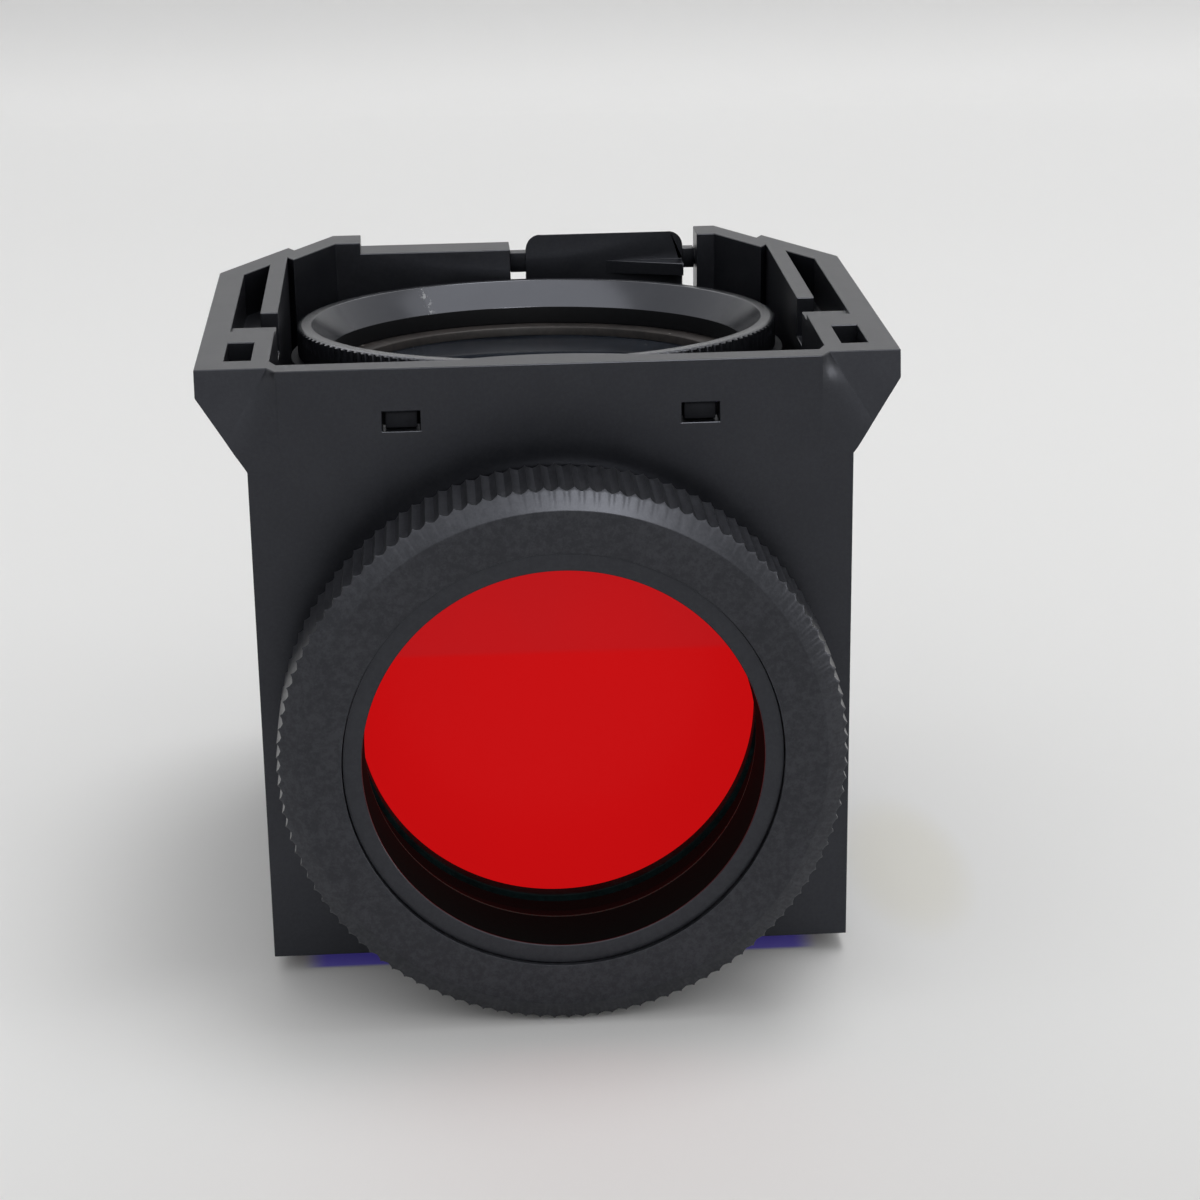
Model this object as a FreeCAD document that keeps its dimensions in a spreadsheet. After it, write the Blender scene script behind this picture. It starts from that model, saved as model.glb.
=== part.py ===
import FreeCAD, Part
import math
import os

import Sketcher
from FreeCAD import Placement, Rotation, Vector

# Fluorescence filter cube for 25 mm filters, in millimetres.
# +X is to the right of someone who faces the exciter ring, +Y leads away from that ring,
# and +Z is up, to the emission side. The origin is the optical centre, where the exciter's
# axis meets the emitter's axis on the face of the dichroic mirror.

sizes = {
    # filters and their seats
    "filter_radius": 12.5,
    "cell_lip": 1.5,
    "cell_wall": 0.65,
    "retainer_ledge": 0.2,
    "gasket_ledge": 0.3,
    "gasket_thickness": 0.3,
    "seat_thickness": 0.55,
    # housing walls, and the room round what they hold
    "front_wall": 1.45,
    "side_wall": 1.35,
    "back_wall": 2.5,
    "corner_wall": 1.45,
    "front_room": 1.885,
    "side_room": 0.885,
    "rear_room": 0.535,
    "base_room": 0.7,
    "mirror_room": 0.263,
    "lip_drop": 1.58,
    "back_inset": 0.2,
    "corner_angle": 60.3,
    # dovetail wings
    "wing_reach": 2.6,
    "wing_setback": 10.1,
    "wing_edge": 1.5,
    "wing_flare": 4.0,
    "wing_relief": 0.86,
    "relief_inset": 1.75,
    "relief_run": 0.5,
    "wing_wall": 1.5,
    "wing_rib": 1.0,
    "wing_end_wall": 1.6,
    "wing_front_wall": 1.75,
    "notch_reach": 2.7,
    "notch_width": 0.4,
    "front_corner": 0.9,
    "pocket_depth": 2.6,
    "small_pocket": 4.05,
    "web_length": 4.65,
    "web_recess": 2.0,
    "web_drop": 0.3,
    "rib_gap": 2.2,
    "rib_gap_depth": 2.3,
    # back wall and latch lever
    "low_wall_drop": 0.7,
    "left_post": 1.8,
    "right_post": 1.35,
    "latch_start": 0.05,
    "left_slit": 1.05,
    "right_slit": 0.8,
    "lever_thickness": 1.1,
    "lever_drop": 0.07,
    "lever_bevel": 0.4,
    "lever_corner": 0.9,
    "lever_tail": 1.15,
    "lever_foot_gap": 0.4,
    "pivot_drop": 1.86,
    "pivot_radius": 0.5,
    "bar_height": 1.25,
    "bar_inset": 0.05,
    "pivot_socket": 0.6,
    "hook_width": 4.4,
    "hook_height": 0.8,
    "hook_reach": 1.0,
    "hook_fall": 0.25,
    "ramp_length": 4.9,
    "ramp_reach": 1.5,
    "ramp_height": 0.8,
    "ramp_drop": 1.88,
    # windows for the holder's hooks, swell and ribs on the inside of the front wall
    "window_offset": 8.0,
    "window_play": 0.04,
    "window_side_play": 0.175,
    "swell_half": 5.0,
    "swell_reach": 0.75,
    "swell_height": 2.5,
    "corner_rib_inset": 1.55,
    "corner_rib_width": 0.6,
    "corner_rib_reach": 0.8,
    "corner_rib_drop": 1.3,
    "corner_rib_height": 7.0,
    # exciter side: depths outward from the housing's front face, radii from the filter's
    "ring_front": 7.5,
    "ring_face_reach": 1.36,
    "ring_reach": 2.7,
    "ring_chamfer": 0.55,
    "knurl_back": 2.6,
    "skirt_reach": 1.8,
    "ring_back": 0.2,
    "ring_teeth": 120,
    "tooth_depth": 0.4,
    "port_thread_reach": 0.8,
    "port_reach": 2.2,
    "port_tube_wall": 0.95,
    "sleeve_drop": 0.3,
    "sleeve_inset": 0.9,
    "sleeve_gap": 0.15,
    "sleeve_lip_inset": 1.8,
    "sleeve_waist_inset": 1.9,
    "sleeve_waist_depth": 3.5,
    "sleeve_bore_inset": 1.35,
    "sleeve_flange_play": 0.1,
    "sleeve_flange_thickness": 0.7,
    "sleeve_end": 0.6,
    "washer_thickness": 0.5,
    "washer_inset": 0.2,
    "washer_width": 0.9,
    "exciter_lip": 0.84,
    "exciter_glass_thickness": 1.7,
    "exciter_retainer_thickness": 0.46,
    # emitter side: depths down from the plane of the emitter ring's lip
    "emitter_tilt": 3.46,
    "lip_reach": 1.29,
    "lip_width": 0.57,
    "emitter_ring_reach": 1.565,
    "emitter_lip_bevel": 0.12,
    "mouth_depth": 1.55,
    "mouth_inset": 0.3,
    "flange_height": 1.72,
    "cell_depth": 2.6,
    "skirt_depth": 4.15,
    "emitter_thread_reach": 0.75,
    "emitter_lip": 0.55,
    "emitter_glass_thickness": 1.05,
    "emitter_retainer_thickness": 0.4,
    "cup_wall": 1.2,
    "cup_top": 1.827,
    "arm_width": 1.7,
    "arm_thickness": 0.95,
    "arm_tip": 0.5,
    "tab_width": 5.4,
    "tab_gap": 0.4,
    "tab_top": 2.2,
    "tab_thickness": 1.0,
    "tab_bevel": 0.7,
    "tab_fall": 0.5,
    # dichroic
    "mirror_side": 0.1,
    "mirror_margin": 0.245,
    "mirror_thickness": 1.05,
    "mirror_gap": 0.05,
    "frame_side_play": 0.25,
    "frame_end": 0.7,
    "frame_lip": 0.8,
    "frame_ledge": 1.2,
    "frame_clearance": 0.2,
    "frame_top_clearance": 0.4,
    "rail_depth": 2.5,
    "rail_inset": 2.35,
    "rail_top_setback": 4.8,
    "rail_bottom_setback": 1.8,
    "clip_thickness": 0.3,
    "clip_setback": 7.3,
    "clip_finger": 3.0,
    "clip_strip": 1.55,
    "clip_overlap": 0.85,
    "screw_setback": 2.5,
    "screw_inset": 1.05,
    "screw_radius": 0.7,
    "screw_head_radius": 1.0,
    "screw_head_height": 0.7,
    "screw_grip": 1.9,
    # fits
    "running_clearance": 0.05,
    "seat_gap": 0.03,
    "cut_margin": 3.0,
}

# sizes that follow from the ones above, as formulas of the same sheet
followers = {
    "aperture_radius": "filter_radius - cell_lip",
    "glass_radius": "filter_radius - cell_wall",
    "retainer_bore": "aperture_radius + retainer_ledge",
    "seat_bore": "aperture_radius + gasket_ledge",
    "ring_face_radius": "filter_radius + ring_face_reach",
    "ring_radius": "filter_radius + ring_reach",
    "skirt_radius": "filter_radius + skirt_reach",
    "port_bore": "filter_radius + running_clearance",
    "port_tube": "port_bore + port_tube_wall",
    "port_thread": "filter_radius + port_thread_reach",
    "sleeve_radius": "filter_radius - sleeve_inset",
    "sleeve_lip": "filter_radius - sleeve_lip_inset",
    "sleeve_waist": "filter_radius - sleeve_waist_inset",
    "sleeve_rear_bore": "filter_radius - sleeve_bore_inset",
    "sleeve_flange": "port_thread - sleeve_flange_play",
    "sleeve_flange_back": "port_reach + sleeve_flange_play",
    "washer_radius": "filter_radius - washer_inset",
    "washer_bore": "washer_radius - washer_width",
    "lip_radius": "filter_radius + lip_reach",
    "emitter_ring_radius": "filter_radius + emitter_ring_reach",
    "emitter_bore": "filter_radius - mouth_inset",
    "emitter_thread": "filter_radius + emitter_thread_reach",
    "cup_bore": "emitter_thread + running_clearance",
    "cup_radius": "cup_bore + cup_wall",
    "cell_bottom": "cell_depth + emitter_lip + emitter_glass_thickness + emitter_retainer_thickness",
    "seat_depth": "cell_bottom + gasket_thickness",
    "floor_depth": "seat_depth + seat_thickness",
    "tilt_sine": "sin(emitter_tilt * 1deg)",
    "tilt_cosine": "cos(emitter_tilt * 1deg)",
    "mirror_width": "2 * (filter_radius + mirror_side)",
    "mirror_length": "2 * sqrt(2) * filter_radius + mirror_margin",
    "mirror_top": "sqrt(0.5) * (mirror_length / 2 + mirror_thickness)",
    "mirror_front": "sqrt(0.5) * (mirror_length / 2 - mirror_thickness)",
    "lip_height": "mirror_top + mirror_room + floor_depth * tilt_cosine - mirror_front * tilt_sine",
    "axis_depth": "emitter_ring_radius + front_room + front_wall",
    "axis_height": "port_tube + base_room",
    "body_width": "2 * (emitter_ring_radius + side_room + side_wall)",
    "body_depth": "axis_depth + emitter_ring_radius + rear_room + back_wall",
    "body_height": "axis_height + lip_height + lip_drop",
    "back_flat": "2 * (filter_radius - back_inset)",
    "notch_span": "back_flat + 2 * notch_reach",
    "swell_radius": "(swell_half^2 + swell_reach^2) / (2 * swell_reach)",
    "relief_span": "body_width - 2 * relief_inset",
    "wing_span": "body_width + 2 * wing_reach",
    "wing_length": "body_depth - wing_setback",
    "corner_rib_offset": "body_width / 2 - side_wall - corner_rib_inset",
    "latch_end": "back_flat / 2 - right_post - right_slit",
    "latch_width": "latch_end - latch_start",
    "latch_centre": "(latch_end + latch_start) / 2",
    "tab_reach": "emitter_ring_radius + rear_room + back_wall - lever_thickness - tab_gap",
    "frame_width": "body_width - 2 * side_wall - 2 * frame_side_play",
    "rail_top": "mirror_length / 2 - rail_top_setback",
    "rail_bottom": "mirror_length / 2 - rail_bottom_setback",
    "clip_length": "mirror_length - 2 * clip_setback",
    "screw_offset": "clip_length / 2 - screw_setback",
}

doc = FreeCAD.newDocument("filter_cube")
sheet = doc.addObject("Spreadsheet::Sheet", "Sizes")
cells = {alias: str(value) for alias, value in sizes.items()}
cells.update({alias: "=" + formula for alias, formula in followers.items()})
for row, (alias, content) in enumerate(cells.items(), start=1):
    sheet.set("A%d" % row, alias)
    sheet.set("B%d" % row, content)
    sheet.setAlias("B%d" % row, alias)
doc.recompute()


def name_of(alias):
    return "Sizes." + alias


def total(*terms):
    return " + ".join("(%s)" % term for term in terms)


def less(first, *rest):
    return "(%s)" % first + "".join(" - (%s)" % term for term in rest)


def minus(term):
    return "-(%s)" % term


def half(alias):
    return "%s / 2" % name_of(alias)


# heights and depths that several pieces share, as expressions
front = minus(name_of("axis_depth"))
back = less(name_of("body_depth"), name_of("axis_depth"))
bottom = minus(name_of("axis_height"))
rim = less(name_of("body_height"), name_of("axis_height"))
slope = "tan(Sizes.corner_angle * 1deg)"
corner_cosine = "cos(Sizes.corner_angle * 1deg)"
cavity_half = less(half("body_width"), name_of("side_wall"))
cavity_front = total(front, name_of("front_wall"))
cavity_back = less(back, name_of("back_wall"))
left_edge = less(name_of("latch_start"), name_of("left_slit"))
right_edge = total(name_of("latch_end"), name_of("right_slit"))
pivot_height = less(rim, name_of("pivot_drop"))
pivot_depth = less(back, half("lever_thickness"))
cell_top = minus(name_of("cell_depth"))
cell_bottom = minus(name_of("cell_bottom"))
arm_reach = less(name_of("axis_depth"), name_of("arm_tip"))
exciter_cell_front = less(name_of("sleeve_end"), name_of("washer_thickness"))
exciter_cell_back = less(exciter_cell_front, name_of("exciter_lip"),
                         name_of("exciter_glass_thickness"),
                         name_of("exciter_retainer_thickness"))


def tilted_height(reach, depth):
    """World height of a point of the emitter's frame, behind the axis and below the lip."""
    return less(name_of("lip_height"), "(%s) * Sizes.tilt_sine" % reach,
                "(%s) * Sizes.tilt_cosine" % depth)


hook_low = total(tilted_height(name_of("cup_radius"), name_of("tab_top")), name_of("seat_gap"))
lever_foot = less(hook_low, name_of("hook_fall"), name_of("lever_tail"))


def new_body(label):
    body = doc.addObject("PartDesign::Body", label)
    body.Label = label
    return body


def origin_plane(body, role):
    return [feature for feature in body.Origin.OriginFeatures if feature.Role == role][0]


def number(sketch, expression):
    value = sketch.evalExpression(expression)
    return float(getattr(value, "Value", value))


def new_sketch(body, name, role, offset=None, turn=0.0):
    """A sketch on one of the body's origin planes, moved along its normal by an expression."""
    sketch = body.newObject("Sketcher::SketchObject", name)
    sketch.AttachmentSupport = [(origin_plane(body, role), "")]
    sketch.MapMode = "FlatFace"
    if turn:
        sketch.AttachmentOffset = Placement(Vector(), Rotation(Vector(1, 0, 0), turn))
    if offset is not None:
        sketch.setExpression("AttachmentOffset.Base.z", offset)
    return sketch


def add_outline(sketch, points):
    """A closed outline whose corners are pairs of expressions."""
    corners = [Vector(number(sketch, x), number(sketch, y), 0) for x, y in points]
    count = len(corners)
    first = sketch.GeometryCount
    for index in range(count):
        line = Part.LineSegment(corners[index], corners[(index + 1) % count])
        sketch.addGeometry(line, False)
    for index in range(count):
        after = first + (index + 1) % count
        sketch.addConstraint(Sketcher.Constraint("Coincident", first + index, 2, after, 1))
    for index, (x, y) in enumerate(points):
        for kind, expression, value in (("DistanceX", x, corners[index].x),
                                        ("DistanceY", y, corners[index].y)):
            place = sketch.addConstraint(
                Sketcher.Constraint(kind, -1, 1, first + index, 1, value))
            sketch.setExpression("Constraints[%d]" % place, expression)


def add_circle(sketch, x, y, radius):
    """A circle whose centre and radius are expressions."""
    centre = Vector(number(sketch, x), number(sketch, y), 0)
    edge = sketch.GeometryCount
    circle = Part.Circle(centre, Vector(0, 0, 1), number(sketch, radius))
    sketch.addGeometry(circle, False)
    for kind, expression, value in (("DistanceX", x, centre.x), ("DistanceY", y, centre.y)):
        place = sketch.addConstraint(Sketcher.Constraint(kind, -1, 1, edge, 3, value))
        sketch.setExpression("Constraints[%d]" % place, expression)
    place = sketch.addConstraint(Sketcher.Constraint("Radius", edge, number(sketch, radius)))
    sketch.setExpression("Constraints[%d]" % place, radius)


def outline(body, name, role, points, offset=None, turn=0.0):
    sketch = new_sketch(body, name, role, offset, turn)
    add_outline(sketch, points)
    return sketch


def rectangle(left, low, right, high):
    return [(left, low), (right, low), (right, high), (left, high)]


def pad(body, name, profile, length, reverse=False, middle=False):
    feature = body.newObject("PartDesign::Pad", name)
    feature.Profile = profile
    feature.setExpression("Length", length)
    feature.Reversed = reverse
    feature.Midplane = middle
    doc.recompute()
    return feature


def pocket(body, name, profile, length, reverse=False, middle=False):
    """Cuts a sketch out of the body, and stops if nothing is cut."""
    before = body.Shape.Volume
    feature = body.newObject("PartDesign::Pocket", name)
    feature.Profile = profile
    feature.setExpression("Length", length)
    feature.Reversed = reverse
    feature.Midplane = middle
    doc.recompute()
    if not feature.Shape.Volume < before - 1e-6:
        raise RuntimeError("pocket %s of %s cuts nothing" % (name, body.Label))
    return feature


def mirrored_sides(points):
    """The same outline on the right and on the left of the middle plane."""
    return [points, [(minus(x), y) for x, y in points]]


def turned(label, points):
    """A piece of revolution about its own Z axis, from its half section."""
    body = new_body(label)
    profile = outline(body, label + "_section", "XZ_Plane", points)
    revolution = body.newObject("PartDesign::Revolution", label + "_turn")
    revolution.Profile = profile
    revolution.ReferenceAxis = (profile, ["V_Axis"])
    revolution.Angle = 360
    doc.recompute()
    return body


def set_on_exciter_axis(body):
    """Own Z points outward along the exciter's axis, from the housing's front face."""
    body.Placement = Placement(Vector(), Rotation(Vector(1, 0, 0), 90))
    body.setExpression("Placement.Base.y", front)
    return body


def set_on_emitter_axis(body):
    """Own Z points up the tilted emitter axis, from the plane of the emitter ring's lip."""
    body.Placement = Placement(Vector(), Rotation(Vector(1, 0, 0), -1))
    body.setExpression("Placement.Base.z", name_of("lip_height"))
    body.setExpression("Placement.Rotation.Angle", minus(name_of("emitter_tilt")))
    return body


def set_on_dichroic(body):
    """Own Z is normal to the mirror's coated face, and own Y leads down its slope."""
    body.Placement = Placement(Vector(), Rotation(Vector(1, 0, 0), -45))
    return body


def edges_where(shape, test):
    return ["Edge%d" % (index + 1) for index, edge in enumerate(shape.Edges) if test(edge)]


def knurl(body, radius, depth, teeth, length):
    """Straight V teeth round the rim of a turned ring."""
    pitch = "3.14159265 * %s / %s" % (radius, teeth)
    outside = total(radius, depth)
    cutter = outline(body, "tooth", "XY_Plane",
                     [(less(radius, depth), "0"), (outside, "2 * (%s)" % pitch),
                      (outside, "-2 * (%s)" % pitch)])
    pocket(body, "groove", cutter, "3 * %s" % length, middle=True)
    pattern = body.newObject("PartDesign::PolarPattern", "knurl")
    pattern.Originals = [body.getObject("groove")]
    pattern.Axis = (cutter, ["N_Axis"])
    pattern.Angle = 360
    pattern.setExpression("Occurrences", teeth)
    body.Tip = pattern
    doc.recompute()


# housing

def second_corner(x):
    """Depth of the rear corner's outer face at a distance from the middle plane."""
    return less(back, "((%s) - (%s)) * %s" % (x, half("back_flat"), slope))


def inner_corner(x):
    """The same for the rear corner's inner face."""
    return less(second_corner(x), "Sizes.corner_wall / " + corner_cosine)


def cavity_outline(clearance="0"):
    """Plan of the open middle, from the front right corner round to the front left one."""
    side = less(cavity_half, clearance)
    step = less(cavity_half, name_of("notch_width"))
    shift = "(%s) / %s" % (clearance, corner_cosine)
    step_depth = less(inner_corner(step), shift)
    side_depth = total(step_depth, "((%s) - (%s)) * %s" % (side, step, slope))
    rear = less(cavity_back, clearance)
    rear_half = total(half("back_flat"), "((%s) - (%s)) / %s"
                      % (less(inner_corner(half("back_flat")), shift), rear, slope))
    right = [(less(step, clearance), total(cavity_front, clearance)),
             (side, total(cavity_front, clearance, name_of("front_corner"))),
             (side, side_depth), (step, step_depth), (rear_half, rear)]
    return right + [(minus(x), y) for x, y in reversed(right)]


def trim_rear_corners(body):
    """Slanted rear corners of wings and body, with the small step between the two slants."""
    margin = name_of("cut_margin")
    side = half("wing_span")
    wing_end = total(front, name_of("wing_length"))
    notch = half("notch_span")
    inner = less(notch, name_of("notch_width"))
    points = [(total(side, margin), less(wing_end, "%s * %s" % (margin, slope))),
              (notch, total(wing_end, "((%s) - (%s)) * %s" % (side, notch, slope))),
              (inner, second_corner(inner)),
              (less(half("back_flat"), "%s / %s" % (margin, slope)), total(back, margin)),
              (total(side, margin), total(back, margin))]
    sketch = new_sketch(body, "rear_corners", "XY_Plane")
    for side_points in mirrored_sides(points):
        add_outline(sketch, side_points)
    pocket(body, "rear_corners_cut", sketch, "4 * %s" % name_of("body_height"), middle=True)


def relieve_wing_fronts(body):
    """The wings' fronts lean back towards the rim, where a short slanted step is left."""
    margin = name_of("cut_margin")
    step = half("relief_span")
    shoulder = less(rim, name_of("wing_edge"), name_of("wing_flare"))
    outside = total(half("wing_span"), margin)
    share = "0.01"
    fade = less(outside, step, margin, name_of("relief_run"))
    for sign, label in (("", "right"), ("-", "left")):
        def section(name, height, part, run):
            rise = "%s * %s" % (name_of("wing_relief"), part)
            points = [(step, front), (total(step, run), total(front, rise)),
                      (outside, total(front, rise)), (outside, less(front, margin)),
                      (step, less(front, margin))]
            points = [("%s(%s)" % (sign, x), y) for x, y in points]
            return outline(body, name, "XY_Plane", points, height)
        low = section("relief_low_" + label, shoulder, share, fade)
        high = section("relief_high_" + label, rim, "1", name_of("relief_run"))
        loft = body.newObject("PartDesign::SubtractiveLoft", "relief_" + label)
        loft.Profile = low
        loft.Sections = [high]
        loft.Ruled = True
        doc.recompute()


def cut_wing_pockets(body):
    """Two pockets in each wing, the gap in the rib, and the sunk rear half of the web."""
    inner = total(cavity_half, name_of("wing_rib"))
    outer = less(half("wing_span"), name_of("wing_wall"))
    wing_end = total(front, name_of("wing_length"))
    small_front = total(front, name_of("wing_relief"), name_of("wing_front_wall"))
    small_back = total(small_front, name_of("small_pocket"))
    web_back = total(small_back, name_of("web_length"))

    def slanted_end(x):
        rise = "((%s) - (%s)) * %s" % (half("wing_span"), x, slope)
        return less(total(wing_end, rise), "Sizes.wing_end_wall / " + corner_cosine)

    long_pocket = [(inner, web_back), (outer, web_back), (outer, slanted_end(outer)),
                   (inner, slanted_end(inner))]
    pockets = new_sketch(body, "wing_pockets", "XY_Plane", rim)
    for points in (long_pocket, rectangle(inner, small_front, outer, small_back)):
        for side_points in mirrored_sides(points):
            add_outline(pockets, side_points)
    pocket(body, "wing_pockets_cut", pockets, name_of("pocket_depth"))

    middle = less(cavity_half, half("wing_rib"))
    gap = rectangle(middle, web_back, total(inner, half("wing_rib")),
                    total(web_back, name_of("rib_gap")))
    gaps = new_sketch(body, "rib_gaps", "XY_Plane", rim)
    for side_points in mirrored_sides(gap):
        add_outline(gaps, side_points)
    pocket(body, "rib_gaps_cut", gaps, name_of("rib_gap_depth"))

    web = rectangle(middle, less(web_back, name_of("web_recess")), outer,
                    total(web_back, half("rib_gap")))
    webs = new_sketch(body, "sunk_webs", "XY_Plane", rim)
    for side_points in mirrored_sides(web):
        add_outline(webs, side_points)
    pocket(body, "sunk_webs_cut", webs, name_of("web_drop"))


def cut_back_wall(body):
    """Lower stretch of the back wall, and the window that the latch lever rocks in."""
    margin = name_of("cut_margin")
    low_left = total(minus(half("back_flat")), name_of("left_post"))
    low_wall = outline(body, "low_wall", "XZ_Plane",
                       rectangle(low_left, less(rim, name_of("low_wall_drop")), left_edge,
                                 total(rim, margin)), minus(total(back, margin)))
    pocket(body, "low_wall_cut", low_wall, total(name_of("back_wall"), margin, margin),
           reverse=True)

    ledge = less(tilted_height(name_of("tab_reach"),
                               total(name_of("tab_top"), name_of("tab_thickness"))),
                 name_of("seat_gap"))
    window = outline(body, "latch_window", "XZ_Plane",
                     rectangle(left_edge, ledge, right_edge, total(rim, margin)),
                     minus(total(back, margin)))
    pocket(body, "latch_window_cut", window, total(name_of("back_wall"), margin, margin),
           reverse=True)

    foot = less(lever_foot, name_of("lever_foot_gap"))
    slot = outline(body, "lever_slot", "XZ_Plane",
                   rectangle(left_edge, foot, right_edge, total(ledge, margin)),
                   minus(total(back, margin)))
    pocket(body, "lever_slot_cut", slot,
           total(name_of("lever_thickness"), name_of("running_clearance"), margin), reverse=True)

    sockets = new_sketch(body, "pivot_sockets", "YZ_Plane",
                         less(left_edge, name_of("pivot_socket")))
    add_circle(sockets, pivot_depth, pivot_height,
               total(name_of("pivot_radius"), name_of("running_clearance")))
    pocket(body, "pivot_sockets_cut", sockets,
           total(name_of("latch_width"), name_of("left_slit"), name_of("right_slit"),
                 "2 * %s" % name_of("pivot_socket")), reverse=True)


def cut_front_windows(body):
    """Two windows in the front wall that the emitter holder's hooks click into."""
    arm_top = total(name_of("cup_top"), name_of("seat_gap"))
    inside = less(name_of("axis_depth"), name_of("front_wall"))
    high = total(tilted_height(minus(arm_reach), arm_top), name_of("window_play"))
    low = less(tilted_height(minus(inside), total(arm_top, name_of("arm_thickness"))),
               name_of("window_play"))
    side = total(half("arm_width"), name_of("window_side_play"))
    points = rectangle(less(name_of("window_offset"), side), low,
                       total(name_of("window_offset"), side), high)
    sketch = new_sketch(body, "front_windows", "XZ_Plane", minus(cavity_front))
    for side_points in mirrored_sides(points):
        add_outline(sketch, side_points)
    pocket(body, "front_windows_cut", sketch,
           total(name_of("front_wall"), name_of("cut_margin")), reverse=True)


def add_front_swell(body):
    """The front wall is thicker in the middle, in a shallow curve towards the emitter ring."""
    sketch = new_sketch(body, "front_swell", "XY_Plane", rim)
    root = less(cavity_front, half("front_wall"))
    height = total(name_of("swell_reach"), half("front_wall"))
    radius = name_of("swell_radius")
    chord = "sqrt((%s)^2 - (%s)^2)" % (radius, less(radius, height))
    reach, low, size = number(sketch, chord), number(sketch, root), number(sketch, radius)
    middle = Vector(0, low + number(sketch, height) - size, 0)
    angle = math.asin(reach / size)
    base = sketch.addGeometry(Part.LineSegment(Vector(-reach, low, 0), Vector(reach, low, 0)))
    circle = Part.Circle(middle, Vector(0, 0, 1), size)
    bow = sketch.addGeometry(Part.ArcOfCircle(circle, math.pi / 2 - angle, math.pi / 2 + angle))
    sketch.addConstraint(Sketcher.Constraint("Coincident", base, 2, bow, 1))
    sketch.addConstraint(Sketcher.Constraint("Coincident", bow, 2, base, 1))
    for kind, corner, value, expression in (("DistanceX", 1, -reach, minus(chord)),
                                            ("DistanceX", 2, reach, chord),
                                            ("DistanceY", 1, low, root),
                                            ("DistanceY", 2, low, root)):
        place = sketch.addConstraint(Sketcher.Constraint(kind, -1, 1, base, corner, value))
        sketch.setExpression("Constraints[%d]" % place, expression)
    place = sketch.addConstraint(Sketcher.Constraint("Radius", bow, size))
    sketch.setExpression("Constraints[%d]" % place, radius)
    pad(body, "front_swell_pad", sketch, name_of("swell_height"), reverse=True)


def add_corner_ribs(body):
    """Small upright ribs on the inner face of the front wall."""
    high = less(rim, name_of("corner_rib_drop"))
    points = rectangle(less(name_of("corner_rib_offset"), half("corner_rib_width")),
                       less(high, name_of("corner_rib_height")),
                       total(name_of("corner_rib_offset"), half("corner_rib_width")), high)
    sketch = new_sketch(body, "corner_ribs", "XZ_Plane",
                        minus(total(cavity_front, name_of("corner_rib_reach"))))
    for side_points in mirrored_sides(points):
        add_outline(sketch, side_points)
    pad(body, "corner_ribs_pad", sketch,
        total(name_of("corner_rib_reach"), half("front_wall")))


def add_exciter_port(body):
    """Threaded neck outside the front wall, and the tube with the filter's seat inside it."""
    neck = less(front, name_of("port_reach"))
    seat = total(front, minus(exciter_cell_back), name_of("gasket_thickness"))
    tube_end = total(seat, name_of("seat_thickness"))
    tube_radius = name_of("port_tube")
    port_bore = name_of("port_bore")
    inside_wall = total(front, half("front_wall"))
    seat_radius = name_of("seat_bore")
    port = outline(body, "port_section", "YZ_Plane",
                   [(neck, seat_radius), (tube_end, seat_radius), (tube_end, tube_radius),
                    (inside_wall, tube_radius), (inside_wall, name_of("port_thread")),
                    (neck, name_of("port_thread"))])
    ring = body.newObject("PartDesign::Revolution", "port_ring")
    ring.Profile = port
    ring.ReferenceAxis = (port, ["H_Axis"])
    ring.Angle = 360
    doc.recompute()

    margin = name_of("cut_margin")
    bore = outline(body, "port_bore_section", "YZ_Plane",
                   [(less(neck, margin), "0"), (total(tube_end, margin), "0"),
                    (total(tube_end, margin), seat_radius), (seat, seat_radius),
                    (seat, port_bore), (less(neck, margin), port_bore)])
    groove = body.newObject("PartDesign::Groove", "port_bore")
    groove.Profile = bore
    groove.ReferenceAxis = (bore, ["H_Axis"])
    groove.Angle = 360
    doc.recompute()

    lean = "sqrt(2) * (%s)" % total(name_of("frame_lip"), name_of("frame_clearance"))
    relief_top = less(minus(cavity_front), lean)
    relief = outline(body, "port_relief", "YZ_Plane",
                     [(cavity_front, relief_top), (total(tube_end, margin), relief_top),
                      (total(tube_end, margin), less(minus(total(tube_end, margin)), lean))])
    pocket(body, "port_relief_cut", relief, "2 * (%s)" % tube_radius, middle=True)


def add_dichroic_rails(body):
    """Slanted rails on the side walls that carry the dichroic frame."""
    face = minus(name_of("frame_lip"))
    foot = less(face, name_of("rail_depth"))
    root = "sqrt(0.5)"

    def place(along, height):
        return ("%s * ((%s) + (%s))" % (root, along, height),
                "%s * ((%s) - (%s))" % (root, height, along))

    points = [place(minus(name_of("rail_top")), face), place(name_of("rail_bottom"), face),
              place(name_of("rail_bottom"), foot), place(minus(name_of("rail_top")), foot)]
    rails = outline(body, "rail_side", "YZ_Plane", points)
    pad(body, "rails", rails, "2 * (%s)" % total(cavity_half, half("side_wall")), middle=True)
    between = outline(body, "between_rails", "YZ_Plane", points)
    pocket(body, "between_rails_cut", between,
           "2 * (%s)" % less(cavity_half, name_of("rail_inset")), middle=True)

    holes = new_sketch(body, "screw_holes", "XY_Plane", turn=-45.0)
    for x in (screw_x, minus(screw_x)):
        for y in (name_of("screw_offset"), minus(name_of("screw_offset"))):
            add_circle(holes, x, y, total(name_of("screw_radius"), name_of("seat_gap")))
    pocket(body, "screw_holes_cut", holes,
           total(name_of("frame_lip"), name_of("screw_grip"), name_of("running_clearance")))


screw_x = less(half("frame_width"), name_of("screw_inset"))


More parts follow.
